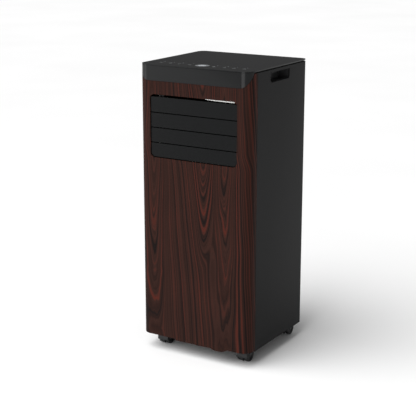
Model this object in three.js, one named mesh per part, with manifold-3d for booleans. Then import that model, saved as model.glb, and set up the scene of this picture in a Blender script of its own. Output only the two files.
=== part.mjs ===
// Portable air conditioner: a slim floor unit on four twin-wheel casters.
// Millimetres. +X is the viewer's right as they face the front, +Y runs from
// front to back and +Z is up. The origin is on the floor under the middle of
// the casing. Room air is drawn in at the upper back, cooled and blown out of
// the front louvre. Outside air is drawn in at the lower back, heated by the
// condenser and pushed out of the round port.

import * as THREE from 'three';
import { mergeVertices } from 'three/addons/utils/BufferGeometryUtils.js';
import Module from 'manifold-3d';

const wasm = await Module();
wasm.setup();

// ---------------------------------------------------------------- dimensions
const WIDTH = 298;
const DEPTH = 281;
const HEIGHT = 700;
const HALF_W = WIDTH / 2;
const HALF_D = DEPTH / 2;
const FRONT_RADIUS = 25;
const REAR_RADIUS = 17.5;
const SKIN = 2.5; // wall of the moulded panels
const GAP = 0.4; // clearance between neighbouring pieces
const CASING_FOOT = 36.5; // underside of the side panels
const PANEL_TOP = 694.5; // upper edge of the upright panels, below the shadow gap
const DECK_EDGE = 697.7; // underside of the deck's edge
const LIP_TOP = 692; // top of the side panels' inward lips, below the deck's skirt

// Front panel and the dark band above it
const RETURN_Y = -105.7; // back edge of the front panel's side returns
const BAND_FOOT = 662.4;
const BAND_FLAT = 122; // half width of the band's straight lower edge
const BAND_ARC_X = 27;
const BAND_ARC_Z = 36;
const PANEL_FOOT = 39.3;
const PANEL_FOOT_MIDDLE = 35.7;
const FOOT_STEP_X = 53;
const PULL_LIP = { from: 47.5, low: 67, to: 94, z: 31.6 };

// Touch control area let into the front of the deck, with a round display
const CONTROL = { inset: 2.2, backY: -68, floor: 698.7, thick: 1 };
const DISPLAY = { radius: 17.4, y: -98 };

// Louvre
const OPENING = { halfW: 116.4, foot: 482.5, top: 631.5, radius: 11 };
const BLADE_PITCH = 35.4;
const BLADE_TOP_PIVOT = 606.5;
const BLADE_PIVOT_Y = -132;
const BLADE_HALF_W = 115.2;
const BLADE_FRONT_Y = -138.4;
const BLADE_THICK = 2.5;
const BLADE_REACH = 16.2; // from a pivot to a blade's upper or lower edge
const BLADE_COUNT = 4;
const FRAME_FRONT_Y = -137.6;
const FRAME_BACK_Y = -104;
const CRANK = { y: 17.8, z: -11.1 }; // link pin, measured from a blade's pivot

// Rear panel, port and intakes
const REAR_FACE_Y = 129.5;
const REAR_HALF_W = 121.6;
const INTAKE_HALF_W = 100;
const UPPER_INTAKE = { foot: 430, top: 640 };
const LOWER_INTAKE = { foot: 75, top: 235 };
const PORT = { z: 312, bore: 62, flange: 74 };
const CORD_HOLE = { x: -104, z: 262 };
const HOOK_X = 104;
const HOOK_Z = [300, 372];
const UPPER_DRAIN = { x: 88, z: 408 };
const LOWER_DRAIN = { x: -84, z: 53 };

// Handle pockets in the side panels
const HANDLE = { halfW: 46, foot: 664.9, top: 688.1, radius: 8, depth: 27 };

// Casters
const WHEEL_RADIUS = 16.5;
const WHEEL_WIDTH = 9.4;
const WHEEL_SPREAD = 9.5; // from the caster's middle to a wheel's middle
const CASTER_TRAIL = 9; // axle behind the swivel axis
const CASTER_X = 112;
const CASTER_SWIVEL_Y = [-94, 114];

// Fans
const UPPER_FAN = { x: 0, z: 406, radius: 80, front: -44, back: 10 };
const LOWER_FAN = { x: -38, z: 170, radius: 70, front: 34, back: 70 };

// --------------------------------------------------------------- solid tools
const ARC_STEPS = 4; // facets in a quarter turn of an outline
const CASING_STEPS = 6; // the same on the casing's own corners
const ROUND = 20;

/** Signed volume of a triangle mesh: negative when its faces point inwards. */
function signedVolume(points, triangles) {
  let volume = 0;
  const a = new THREE.Vector3();
  const b = new THREE.Vector3();
  const c = new THREE.Vector3();
  for (let i = 0; i < triangles.length; i += 3) {
    a.fromArray(points, 3 * triangles[i]);
    b.fromArray(points, 3 * triangles[i + 1]);
    c.fromArray(points, 3 * triangles[i + 2]);
    volume += a.dot(b.cross(c));
  }
  return volume;
}

/** Turns a closed three.js geometry into a manifold solid with its faces out. */
function solid(geometry) {
  const bare = geometry.clone();
  bare.deleteAttribute('normal');
  bare.deleteAttribute('uv');
  const merged = mergeVertices(bare, 1e-4);
  const vertProperties = new Float32Array(merged.attributes.position.array);
  const kept = [];
  const index = merged.index.array;
  for (let i = 0; i < index.length; i += 3) {
    const [p, q, r] = [index[i], index[i + 1], index[i + 2]];
    if (p !== q && q !== r && r !== p) kept.push(p, q, r);
  }
  if (signedVolume(vertProperties, kept) < 0) kept.reverse();
  const triVerts = new Uint32Array(kept);
  return new wasm.Manifold(new wasm.Mesh({ numProp: 3, vertProperties, triVerts }));
}

/** Turns a manifold solid back into a three.js geometry. */
function geometryOf(shape) {
  const { vertProperties, triVerts } = shape.getMesh();
  const geometry = new THREE.BufferGeometry();
  geometry.setAttribute('position', new THREE.BufferAttribute(vertProperties, 3));
  geometry.setIndex(new THREE.BufferAttribute(triVerts, 1));
  geometry.computeVertexNormals();
  return geometry;
}

const unite = (shapes) => shapes.reduce((sum, next) => sum.add(next));
const cutAll = (shape, cutters) => cutters.reduce((rest, cutter) => rest.subtract(cutter), shape);
const mirrorX = (shape) => shape.mirror([1, 0, 0]);

function extruded(outline, depth, steps) {
  const options = { depth, bevelEnabled: false, curveSegments: steps };
  return new THREE.ExtrudeGeometry(outline, options);
}

/** An XY outline extruded from z0 to z1. */
function slab(outline, z0, z1, steps = ARC_STEPS) {
  return solid(extruded(outline, z1 - z0, steps).translate(0, 0, z0));
}

/** An XZ outline extruded from y0 to y1. */
function alongY(outline, y0, y1, steps = ARC_STEPS) {
  return solid(extruded(outline, y1 - y0, steps).rotateX(Math.PI / 2).translate(0, y1, 0));
}

/** A YZ outline extruded from x0 to x1. */
function alongX(outline, x0, x1, steps = ARC_STEPS) {
  const upright = extruded(outline, x1 - x0, steps).rotateX(Math.PI / 2);
  return solid(upright.rotateZ(Math.PI / 2).translate(x0, 0, 0));
}

function box(x0, x1, y0, y1, z0, z1) {
  const block = new THREE.BoxGeometry(x1 - x0, y1 - y0, z1 - z0);
  return solid(block.translate((x0 + x1) / 2, (y0 + y1) / 2, (z0 + z1) / 2));
}

function cylinderZ(radius, x, y, z0, z1, sides = ROUND) {
  const rod = new THREE.CylinderGeometry(radius, radius, z1 - z0, sides);
  return solid(rod.rotateX(Math.PI / 2).translate(x, y, (z0 + z1) / 2));
}

function cylinderY(radius, x, z, y0, y1, sides = ROUND) {
  const rod = new THREE.CylinderGeometry(radius, radius, y1 - y0, sides);
  return solid(rod.translate(x, (y0 + y1) / 2, z));
}

function cylinderX(radius, y, z, x0, x1, sides = ROUND) {
  const rod = new THREE.CylinderGeometry(radius, radius, x1 - x0, sides);
  return solid(rod.rotateZ(Math.PI / 2).translate((x0 + x1) / 2, y, z));
}

/** A closed profile of [radius, height] pairs turned about the Y axis. */
function turned(profile, x, z, sides = ROUND) {
  const points = profile.map(([radius, height]) => new THREE.Vector2(radius, height));
  return solid(new THREE.LatheGeometry(points, sides).translate(x, 0, z));
}

/** The same about a vertical axis. */
function turnedZ(profile, x, y, sides = ROUND) {
  const points = profile.map(([radius, height]) => new THREE.Vector2(radius, height));
  return solid(new THREE.LatheGeometry(points, sides).rotateX(Math.PI / 2).translate(x, y, 0));
}

/** A round tube or rod along a smooth curve through the given points. */
function pipe(points, radius, steps, sides = 8) {
  const knots = points.map((p) => new THREE.Vector3(...p));
  const curve = new THREE.CatmullRomCurve3(knots, false, 'centripetal');
  const section = new THREE.Shape();
  for (let i = 0; i < sides; i += 1) {
    const angle = (2 * Math.PI * i) / sides;
    const corner = [radius * Math.cos(angle), radius * Math.sin(angle)];
    if (i === 0) section.moveTo(...corner);
    else section.lineTo(...corner);
  }
  section.closePath();
  return solid(new THREE.ExtrudeGeometry(section, { steps, extrudePath: curve, bevelEnabled: false }));
}

/** A closed outline through plain corner points. */
function polygon(corners) {
  return new THREE.Shape(corners.map(([u, v]) => new THREE.Vector2(u, v)));
}

/**
 * A rectangle with one radius on its two low corners and one on its two high
 * corners. In plan the low side is the front.
 */
function rectangle(u0, u1, v0, v1, lowRadius = 0, highRadius = lowRadius) {
  const shape = new THREE.Shape();
  const quarter = Math.PI / 2;
  const corner = (u, v, radius, from) => {
    if (radius > 0) shape.absarc(u, v, radius, from, from + quarter, false);
    else shape.lineTo(u, v);
  };
  shape.moveTo(u0 + lowRadius, v0);
  corner(u1 - lowRadius, v0 + lowRadius, lowRadius, -quarter);
  corner(u1 - highRadius, v1 - highRadius, highRadius, 0);
  corner(u0 + highRadius, v1 - highRadius, highRadius, quarter);
  if (lowRadius > 0) corner(u0 + lowRadius, v0 + lowRadius, lowRadius, Math.PI);
  return shape;
}

// ------------------------------------------------------------ casing outline
function casingOutline(inset) {
  const x = HALF_W - inset;
  const y = HALF_D - inset;
  return rectangle(-x, x, -y, y, FRONT_RADIUS - inset, REAR_RADIUS - inset);
}

/** The upright skin of the casing, open at its top and bottom. */
function casingSkin(z0, z1) {
  const inside = slab(casingOutline(SKIN), z0 - 1, z1 + 1, CASING_STEPS);
  return slab(casingOutline(0), z0, z1, CASING_STEPS).subtract(inside);
}

/** The front view of the dark band: flat in the middle, sweeping up at both ends. */
function bandFace(shrink) {
  const face = new THREE.Shape();
  const ceiling = HEIGHT + 10;
  const springing = BAND_FOOT + BAND_ARC_Z;
  const reachX = BAND_ARC_X - shrink;
  const reachZ = BAND_ARC_Z - shrink;
  face.moveTo(-BAND_FLAT, springing - reachZ);
  face.lineTo(BAND_FLAT, springing - reachZ);
  face.absellipse(BAND_FLAT, springing, reachX, reachZ, -Math.PI / 2, 0, false);
  face.lineTo(BAND_FLAT + reachX, ceiling);
  face.lineTo(-BAND_FLAT - reachX, ceiling);
  face.lineTo(-BAND_FLAT - reachX, springing);
  face.absellipse(-BAND_FLAT, springing, reachX, reachZ, Math.PI, 1.5 * Math.PI, false);
  return face;
}

/** What is trimmed off below the front panel, with its step and its pull lip. */
function belowFrontPanel() {
  const edge = new THREE.Shape();
  const far = HALF_W + 10;
  edge.moveTo(-far, 0);
  edge.lineTo(far, 0);
  edge.lineTo(far, PANEL_FOOT);
  edge.lineTo(PULL_LIP.to, PANEL_FOOT);
  edge.quadraticCurveTo(PULL_LIP.to - 10, PULL_LIP.z, PULL_LIP.low, PULL_LIP.z);
  edge.quadraticCurveTo(PULL_LIP.from + 9, PULL_LIP.z, PULL_LIP.from, PANEL_FOOT_MIDDLE);
  edge.lineTo(-FOOT_STEP_X + 4, PANEL_FOOT_MIDDLE);
  edge.lineTo(-FOOT_STEP_X - 2, PANEL_FOOT);
  edge.lineTo(-far, PANEL_FOOT);
  return edge;
}

// ------------------------------------------------------------- outer casing
function frontPanel() {
  const hornFrontY = -HALF_D + FRONT_RADIUS;
  const horn = box(HALF_W - SKIN - 0.1, HALF_W + 1, hornFrontY, 0, BAND_FOOT - 5, HEIGHT + 20);
  const bandCut = cutAll(alongY(bandFace(0), -HALF_D - 1, -50), [horn, mirrorX(horn)]);
  const opening = rectangle(
    -OPENING.halfW, OPENING.halfW, OPENING.foot, OPENING.top, OPENING.radius,
  );
  const front = box(-HALF_W - 1, HALF_W + 1, -HALF_D - 1, RETURN_Y, 0, HEIGHT);
  return cutAll(casingSkin(PULL_LIP.z - 2, PANEL_TOP).intersect(front), [
    bandCut,
    alongY(opening, -HALF_D - 1, -100),
    alongY(belowFrontPanel(), -HALF_D - 1, -50),
  ]);
}

function frontBand() {
  const hornFrontY = -HALF_D + FRONT_RADIUS;
  const front = box(-HALF_W, HALF_W, -HALF_D - 1, hornFrontY - GAP, 0, HEIGHT);
  return casingSkin(BAND_FOOT, PANEL_TOP)
    .intersect(front)
    .intersect(alongY(bandFace(GAP), -HALF_D - 1, -50));
}

function rightSidePanel() {
  const half = box(0, HALF_W + 1, RETURN_Y + GAP, HALF_D + 1, 0, HEIGHT);
  const rearGap = box(-1, REAR_HALF_W + GAP, 100, HALF_D + 1, 0, HEIGHT);
  const lip = box(
    REAR_HALF_W + GAP, REAR_HALF_W + GAP + SKIN,
    REAR_FACE_Y - SKIN, HALF_D - SKIN / 2, CASING_FOOT, LIP_TOP,
  );
  const mouth = rectangle(-HANDLE.halfW, HANDLE.halfW, HANDLE.foot, HANDLE.top, HANDLE.radius, 0);
  return casingSkin(CASING_FOOT, PANEL_TOP)
    .intersect(half)
    .subtract(rearGap)
    .add(lip)
    .subtract(alongX(mouth, HALF_W - 10, HALF_W + 1));
}

function rightHandlePocket() {
  const wall = 2;
  const outerX = HALF_W - SKIN - GAP;
  const innerX = outerX - HANDLE.depth;
  const outerHalfW = HANDLE.halfW + wall;
  const shell = box(
    innerX, outerX, -outerHalfW, outerHalfW, HANDLE.foot - wall, HANDLE.top + wall,
  );
  const hollow = box(
    innerX + wall, outerX + 1, -HANDLE.halfW, HANDLE.halfW, HANDLE.foot, HANDLE.top,
  );
  return shell.subtract(hollow);
}

function topDeck() {
  const skirtInset = 4;
  const skirtWall = 2;
  const skirtFoot = 692.6;
  const plate = slab(casingOutline(0), DECK_EDGE, HEIGHT, CASING_STEPS);
  const skirt = slab(casingOutline(skirtInset), skirtFoot, DECK_EDGE + 0.5, 3);
  const skirtHollow = slab(casingOutline(skirtInset + skirtWall), skirtFoot - 1, DECK_EDGE, 3);
  const recess = slab(controlOutline(CONTROL.inset), CONTROL.floor, HEIGHT + 1);
  const displayHole = cylinderZ(DISPLAY.radius - 3, 0, DISPLAY.y, DECK_EDGE - 1, HEIGHT + 1);
  return cutAll(plate.add(skirt.subtract(skirtHollow)), [recess, displayHole]);
}

function controlOutline(inset) {
  const x = HALF_W - inset;
  const frontY = -HALF_D + inset;
  return rectangle(-x, x, frontY, CONTROL.backY, FRONT_RADIUS - inset, 1.5);
}

function controlOverlay() {
  const foot = HEIGHT - CONTROL.thick;
  const sheet = slab(controlOutline(CONTROL.inset + GAP), foot, HEIGHT);
  return sheet.subtract(cylinderZ(DISPLAY.radius, 0, DISPLAY.y, foot - 1, HEIGHT + 1));
}

function displayLens() {
  return cylinderZ(DISPLAY.radius - GAP, 0, DISPLAY.y, HEIGHT - CONTROL.thick, HEIGHT);
}

function controlBoard() {
  const board = box(-118, 118, -122, -78, 688, 689.6);
  const displayModule = cylinderZ(13, 0, DISPLAY.y, 689.5, 696);
  const socket = box(60, 84, -88, -80, 682, 688.1);
  return unite([board, displayModule, socket]);
}

function rearPanel() {
  const plate = box(
    -REAR_HALF_W, REAR_HALF_W, REAR_FACE_Y - SKIN, REAR_FACE_Y, CASING_FOOT + 1.5, PANEL_TOP,
  );
  const intakes = [UPPER_INTAKE, LOWER_INTAKE].map(({ foot, top }) => {
    const window = rectangle(-INTAKE_HALF_W, INTAKE_HALF_W, foot, top, 6);
    return alongY(window, REAR_FACE_Y - 10, REAR_FACE_Y + 1, 2);
  });
  const hole = (radius, x, z) => cylinderY(radius, x, z, REAR_FACE_Y - 10, REAR_FACE_Y + 1, 16);
  const holes = [
    hole(PORT.bore + 5, 0, PORT.z),
    hole(9, UPPER_DRAIN.x, UPPER_DRAIN.z),
    hole(9, LOWER_DRAIN.x, LOWER_DRAIN.z),
    hole(7.5, CORD_HOLE.x, CORD_HOLE.z),
  ];
  HOOK_Z.forEach((z) => holes.push(hole(3.2, HOOK_X, z)));
  return cutAll(plate, [...intakes, ...holes]);
}

function basePan() {
  const foot = 38;
  const floor = 41;
  const rim = 66;
  const x = HALF_W - 4.5;
  const frontY = -HALF_D + 4.5;
  const backY = 126;
  const wall = 2.5;
  const tray = slab(rectangle(-x, x, frontY, backY, FRONT_RADIUS - 4.5, 4), foot, rim);
  const hollow = slab(
    rectangle(-x + wall, x - wall, frontY + wall, backY - wall, FRONT_RADIUS - 7, 2), floor, rim + 1,
  );
  const bosses = [];
  const sockets = [];
  CASTER_SWIVEL_Y.forEach((y) => {
    [-CASTER_X, CASTER_X].forEach((casterX) => {
      bosses.push(cylinderZ(8, casterX, y, foot + 1, 58, 8));
      sockets.push(cylinderZ(4.5, casterX, y, foot - 1, 56, 8));
    });
  });
  const latch = box(5.5, 12.5, -135.8, -131, 33, foot + 1);
  const spigot = cylinderY(8, LOWER_DRAIN.x, LOWER_DRAIN.z, backY - wall - 6, backY, 12);
  const spigotBore = cylinderY(5.4, LOWER_DRAIN.x, LOWER_DRAIN.z, backY - wall - 7, backY + 1, 12);
  const whole = unite([tray.subtract(hollow), ...bosses, latch, spigot]);
  return cutAll(whole, [...sockets, spigotBore]);
}

// ------------------------------------------------------------------- louvre
const bladePivotZ = (index) => BLADE_TOP_PIVOT - index * BLADE_PITCH;

function louvreFrame() {
  const clear = 0.3;
  const wall = 2.5;
  const inner = (grow) => {
    const halfW = OPENING.halfW + grow;
    const radius = OPENING.radius + grow;
    return rectangle(-halfW, halfW, OPENING.foot - grow, OPENING.top + grow, radius);
  };
  const shell = alongY(inner(clear + wall), FRAME_FRONT_Y, FRAME_BACK_Y);
  const passage = alongY(inner(clear), FRAME_FRONT_Y - 1, FRAME_BACK_Y + 1);
  const pinHoles = [];
  for (let i = 0; i < BLADE_COUNT; i += 1) {
    pinHoles.push(cylinderX(2.5, BLADE_PIVOT_Y, bladePivotZ(i), -HALF_W, HALF_W, 8));
  }
  return cutAll(shell, [passage, ...pinHoles]);
}

/** Blade 0 is the top one. It is taller, and the lowest has rounded low corners. */
function louvreBlade(index) {
  const pivotZ = bladePivotZ(index);
  const isTop = index === 0;
  const isLowest = index === BLADE_COUNT - 1;
  const top = pivotZ + (isTop ? 19 : BLADE_REACH);
  const foot = pivotZ - (isLowest ? 15.8 : BLADE_REACH);
  const face = rectangle(
    -BLADE_HALF_W, BLADE_HALF_W, foot, top, isLowest ? 9.5 : 1.2, isTop ? 5.5 : 1.2,
  );
  const backY = BLADE_FRONT_Y + BLADE_THICK;
  const plate = alongY(face, BLADE_FRONT_Y, backY, 3);
  const ear = box(111.8, 114.8, backY - 0.5, BLADE_PIVOT_Y + 3, pivotZ - 4, pivotZ + 4);
  const pin = cylinderX(2, BLADE_PIVOT_Y, pivotZ, 112.5, 118.8, 8);
  const crankPinY = BLADE_PIVOT_Y + CRANK.y;
  const crankPinZ = pivotZ + CRANK.z;
  const arm = polygon([
    [backY - 0.5, pivotZ + 5],
    [backY - 0.5, pivotZ - 8],
    [crankPinY - 1, crankPinZ - 3.4],
    [crankPinY + 1.5, crankPinZ + 3.1],
  ]);
  return unite([
    plate,
    ear,
    mirrorX(ear),
    pin,
    mirrorX(pin),
    alongX(arm, -101.5, -98.5),
    cylinderX(3.4, crankPinY, crankPinZ, -101.5, -98.5, 8),
    cylinderX(1.5, crankPinY, crankPinZ, -105.6, -100, 8),
  ]);
}

function louvreLink() {
  const y = BLADE_PIVOT_Y + CRANK.y;
  const lowPin = bladePivotZ(BLADE_COUNT - 1) + CRANK.z;
  const highPin = bladePivotZ(0) + CRANK.z;
  const bar = alongX(rectangle(y - 3, y + 3, lowPin - 4.5, highPin + 4.5, 2.8), -105, -102.5, 4);
  const holes = [];
  for (let i = 0; i < BLADE_COUNT; i += 1) {
    holes.push(cylinderX(2.1, y, bladePivotZ(i) + CRANK.z, -106, -101, 8));
  }
  return cutAll(bar, holes);
}

function louvreMotor() {
  const z = BLADE_TOP_PIVOT;
  const bodyY = BLADE_PIVOT_Y + 8.5;
  const can = cylinderX(12, bodyY, z, 121.4, 131, 16);
  const shaftBoss = cylinderX(4.4, BLADE_PIVOT_Y, z, 119.8, 123, 12);
  const flange = box(121.4, 122.6, bodyY - 4, bodyY + 4, z - 19, z + 19);
  return unite([can, shaftBoss, flange]);
}

// ------------------------------------------------------------------ casters
function casterHousing(swivelX, swivelY) {
  const axleY = swivelY + CASTER_TRAIL;
  const hoodInner = WHEEL_RADIUS + 0.8;
  const hoodOuter = WHEEL_RADIUS + 3;
  const from = THREE.MathUtils.degToRad(72);
  const to = THREE.MathUtils.degToRad(192);
  const hood = new THREE.Shape();
  hood.absarc(axleY, WHEEL_RADIUS, hoodOuter, from, to, false);
  hood.absarc(axleY, WHEEL_RADIUS, hoodInner, to, from, true);
  const web = new THREE.Shape();
  web.absarc(axleY, WHEEL_RADIUS, hoodOuter - 1, from - 0.6, to + 0.6, false);
  web.lineTo(axleY, WHEEL_RADIUS - 6);
  return unite([
    alongX(hood, swivelX - 14.4, swivelX + 14.4, 5),
    alongX(web, swivelX - 3.6, swivelX + 3.6, 5),
    cylinderZ(6.5, swivelX, swivelY, 33.5, 37.4, 10),
    cylinderZ(3.9, swivelX, swivelY, 37, 55, 8),
  ]).subtract(cylinderX(2.6, axleY, WHEEL_RADIUS, swivelX - 20, swivelX + 20, 8));
}

/** Two wheels pressed on one axle, each with a flat facet on the floor. */
function casterWheels(swivelX, swivelY) {
  const sides = 20;
  const halfStep = Math.PI / sides;
  const tread = WHEEL_RADIUS / Math.cos(halfStep);
  const axleY = swivelY + CASTER_TRAIL;
  const wheels = [-WHEEL_SPREAD, WHEEL_SPREAD].map((offset) => {
    const wheel = new THREE.CylinderGeometry(tread, tread, WHEEL_WIDTH, sides);
    wheel.rotateY(halfStep).rotateZ(Math.PI / 2);
    return solid(wheel.translate(swivelX + offset, axleY, WHEEL_RADIUS));
  });
  const axle = cylinderX(2.1, axleY, WHEEL_RADIUS, swivelX - 14, swivelX + 14, 8);
  return unite([...wheels, axle]);
}

// ------------------------------------------------------- rear panel fittings
function filterFrame({ foot, top }) {
  const half = INTAKE_HALF_W - GAP;
  const low = foot + GAP;
  const high = top - GAP;
  const rail = 7;
  const backY = REAR_FACE_Y - 0.2;
  const frontY = backY - 9;
  const ring = alongY(rectangle(-half, half, low, high, 5.6), frontY, backY, 2)
    .subtract(box(-half + rail, half - rail, frontY - 1, backY + 1, low + rail, high - rail));
  const slats = [];
  const count = Math.round((high - low - 2 * rail) / 15);
  const pitch = (high - low - 2 * rail) / count;
  for (let i = 1; i < count; i += 1) {
    const z = low + rail + i * pitch;
    slats.push(box(-half + 1, half - 1, backY - 4.5, backY - 0.3, z - 2, z + 2));
  }
  const rib = box(-1.5, 1.5, frontY + 3, backY - 1.5, low + 2, high - 2);
  const pull = box(-14, 14, backY - 2, backY + 4, high - 6.5, high - 2.5);
  return unite([ring, ...slats, rib, pull]);
}

function filterMesh({ foot, top }) {
  const inset = 7 + 2 * GAP;
  const y = REAR_FACE_Y - 8.8;
  return box(-INTAKE_HALF_W + inset, INTAKE_HALF_W - inset, y, y + 1, foot + inset, top - inset);
}

function exhaustCollar() {
  const sleeve = PORT.bore + 3;
  return turned([
    [PORT.bore, 113], [sleeve, 113], [sleeve, REAR_FACE_Y + GAP], [PORT.flange, REAR_FACE_Y + GAP],
    [PORT.flange, REAR_FACE_Y + 3], [PORT.bore + 5, HALF_D], [PORT.bore, HALF_D], [PORT.bore, 113],
  ], 0, PORT.z, 28);
}

function drainPlug({ x, z }) {
  const face = REAR_FACE_Y + GAP;
  const shank = cylinderY(4.8, x, z, 119, face + 1, 10);
  const cap = cylinderY(11, x, z, face, face + 3.5, 16);
  const grip = box(x - 1.5, x + 1.5, face + 3, face + 8.5, z - 8, z + 8);
  return unite([shank, cap, grip]);
}

function cordGland() {
  const face = REAR_FACE_Y + GAP;
  const bore = 3.8;
  const inner = 120;
  return turned([
    [bore, inner], [7, inner], [7, face], [10.5, face],
    [10.5, face + 2.5], [6.5, face + 8], [bore, face + 8], [bore, inner],
  ], CORD_HOLE.x, CORD_HOLE.z, 12);
}

/** A T-shaped hook for winding the lead round, held by its own shank. */
function cordHook(z, direction) {
  const face = REAR_FACE_Y + GAP;
  const shank = cylinderY(2.6, HOOK_X, z, REAR_FACE_Y - 6, face + 1, 12);
  const foot = box(HOOK_X - 9, HOOK_X + 9, face, face + 2, z - 7, z + 7);
  const stem = box(HOOK_X - 7, HOOK_X + 7, face + 1, face + 10, z - 1.5, z + 1.5);
  const ends = [z - direction * 1.5, z + direction * 11];
  const finger = box(
    HOOK_X - 7, HOOK_X + 7, face + 7.6, face + 10.2, Math.min(...ends), Math.max(...ends),
  );
  return unite([shank, foot, stem, finger]);
}

// ----------------------------------------------------------------- cold side
function dischargeDuct() {
  const shell = box(-124, 124, -103, 22, 478, 642);
  const cavity = box(-114, 114, -104, 12, 488, 632);
  const overFan = box(-130, 130, -52, 30, 470, 500);
  const throat = box(54, 114, -48, 12, 480, 520);
  return cutAll(shell, [cavity, overFan, throat]);
}

/** A volute outline: a spiral round the wheel that opens upwards on its right. */
function voluteOutline(fan, shrink, outletTop) {
  const tongue = THREE.MathUtils.degToRad(62);
  const steps = 20;
  const shape = new THREE.Shape();
  let lastX = 0;
  for (let i = 0; i <= steps; i += 1) {
    const turn = i / steps;
    const angle = tongue + turn * (2 * Math.PI - tongue);
    const reach = fan.radius + 9 + turn * 0.22 * fan.radius - shrink;
    const x = fan.x + reach * Math.cos(angle);
    const z = fan.z + reach * Math.sin(angle);
    if (i === 0) shape.moveTo(x, z);
    else shape.lineTo(x, z);
    lastX = x;
  }
  shape.lineTo(lastX, outletTop);
  shape.lineTo(fan.x + (fan.radius + 9) * Math.cos(tongue) + shrink, outletTop);
  return shape;
}

function fanScroll(fan, outletTop, inletRadius) {
  const wall = 2.5;
  const frontY = fan.front - 6;
  const backY = fan.back + 6;
  const shell = alongY(voluteOutline(fan, 0, outletTop), frontY, backY);
  const hollow = alongY(voluteOutline(fan, wall, outletTop + 10), frontY + wall, backY - wall);
  const inlet = cylinderY(inletRadius, fan.x, fan.z, fan.back, backY + 1);
  const shaftHole = cylinderY(12, fan.x, fan.z, frontY - 1, fan.front, 16);
  return cutAll(shell, [hollow, inlet, shaftHole]);
}

/** A squirrel-cage wheel on its shaft, with forward-leaning blades. */
function fanWheel(fan, bladeCount, shaftFrontY) {
  const { x, z, radius, front, back } = fan;
  const plate = cylinderY(radius, x, z, front, front + 2.5);
  const ring = cylinderY(radius, x, z, back - 3, back)
    .subtract(cylinderY(radius - 12, x, z, back - 4, back + 1));
  const hub = turned([[0, front], [16, front], [12, front + 26], [0, front + 26]], x, z, 16);
  const shaft = cylinderY(4, x, z, shaftFrontY, front + 20, 12);
  const blades = [];
  for (let i = 0; i < bladeCount; i += 1) {
    const blade = new THREE.BoxGeometry(11, back - front - 2, 1.6);
    blade.rotateY(0.6).translate(radius - 6.5, (front + back) / 2, 0);
    blade.rotateY((2 * Math.PI * i) / bladeCount).translate(x, 0, z);
    blades.push(solid(blade));
  }
  return unite([plate, ring, hub, shaft, ...blades]);
}

function fanMotor(fan, frontY, backY, radius) {
  const { x, z } = fan;
  const can = turned([
    [5, frontY], [radius - 6, frontY], [radius, frontY + 6], [radius, backY - 8],
    [radius - 6, backY - 3], [14, backY - 3], [14, backY], [5, backY], [5, frontY],
  ], x, z, 16);
  const lugs = [0, 1, 2].map((i) => {
    const lug = new THREE.BoxGeometry(12, 3, 9).translate(radius + 3, backY - 9.5, 0);
    return solid(lug.rotateY((2 * Math.PI * i) / 3 + 0.5).translate(x, 0, z));
  });
  return unite([can, ...lugs]);
}

/** A fin-and-tube coil: grooved fin pack, end plates and return bends. */
function finCoil(halfW, frontY, backY, foot, top, bendCount) {
  const pack = box(-halfW, halfW, frontY, backY, foot, top);
  const grooves = [];
  const grooveCount = 12;
  const pitch = (2 * halfW - 8) / grooveCount;
  for (let i = 0; i < grooveCount; i += 1) {
    const x = -halfW + 4 + (i + 0.5) * pitch;
    grooves.push(box(x - pitch / 4, x + pitch / 4, backY - 3, backY + 1, foot + 2, top - 2));
  }
  const endPlates = [-halfW - 1, halfW - 1].map(
    (x) => box(x, x + 2, frontY - 2, backY + 2, foot - 2, top + 2),
  );
  const middleY = (frontY + backY) / 2;
  const bendPitch = (top - foot) / bendCount;
  const bends = [];
  for (let i = 0; i < bendCount; i += 1) {
    const z = foot + (i + 0.5) * bendPitch;
    const reach = bendPitch * 0.25;
    bends.push(pipe([
      [halfW - 1, middleY, z - reach], [halfW + 7, middleY, z - reach], [halfW + 11, middleY, z],
      [halfW + 7, middleY, z + reach], [halfW - 1, middleY, z + reach],
    ], 3.6, 6, 5));
  }
  return unite([cutAll(pack, grooves), ...endPlates, ...bends]);
}

function drainPan() {
  const trough = box(-118, 118, 78, 119, 398, 420);
  const hollow = box(-116, 116, 80, 117, 401, 421);
  const { x, z } = UPPER_DRAIN;
  const spigot = cylinderY(8, x, z, 117, 126, 12);
  const bore = cylinderY(5.4, x, z, 115, 127, 12);
  return trough.subtract(hollow).add(spigot).subtract(bore);
}

function partitionPlate() {
  const plate = box(-140, 98, -128, 111, 292, 302);
  const tray = box(-138, 96, -126, 109, 295, 303);
  const elbowHole = box(-76, 76, 20, 120, 280, 310);
  return cutAll(plate, [tray, elbowHole]);
}

// ------------------------------------------------------------------ hot side
function exhaustElbow() {
  const shell = box(-72, 72, 24, 112, 256, 386);
  const hollow = box(-69, 69, 27, 109, 259, 383);
  const outlet = cylinderY(PORT.bore, 0, PORT.z, 100, 113);
  const inlet = box(2, 52, 30, 73, 255, 262);
  return cutAll(shell, [hollow, outlet, inlet]);
}

function compressor() {
  const [x, y] = [62, -62];
  const can = turnedZ([
    [0, 80], [44, 80], [56, 90], [57, 100], [57, 214], [50, 236], [34, 248], [0, 252],
  ], x, y, 16);
  const reach = 58;
  const foot = box(x - reach, x + reach, y - 9, y + 9, 74, 82)
    .add(box(x - 9, x + 9, y - reach, y + reach, 74, 82));
  const bushes = [[-50, 0], [50, 0], [0, -50], [0, 50]].map(
    ([dx, dy]) => cylinderZ(8, x + dx, y + dy, 41.6, 75, 8),
  );
  const terminals = cylinderZ(14, x - 18, y, 240, 256, 12);
  return unite([can, foot, ...bushes, terminals]);
}

function accumulator() {
  return turnedZ([[0, 108], [12, 110], [22, 120], [22, 216], [12, 228], [0, 230]], 112, 22, 14);
}

function dischargePipe() {
  return pipe([
    [92, -62, 249.8], [92, -62, 268], [104, -60, 282], [122, -40, 282],
    [131, 0, 270], [132, 60, 245], [128, 84, 215],
  ], 4, 18, 6);
}

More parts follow.
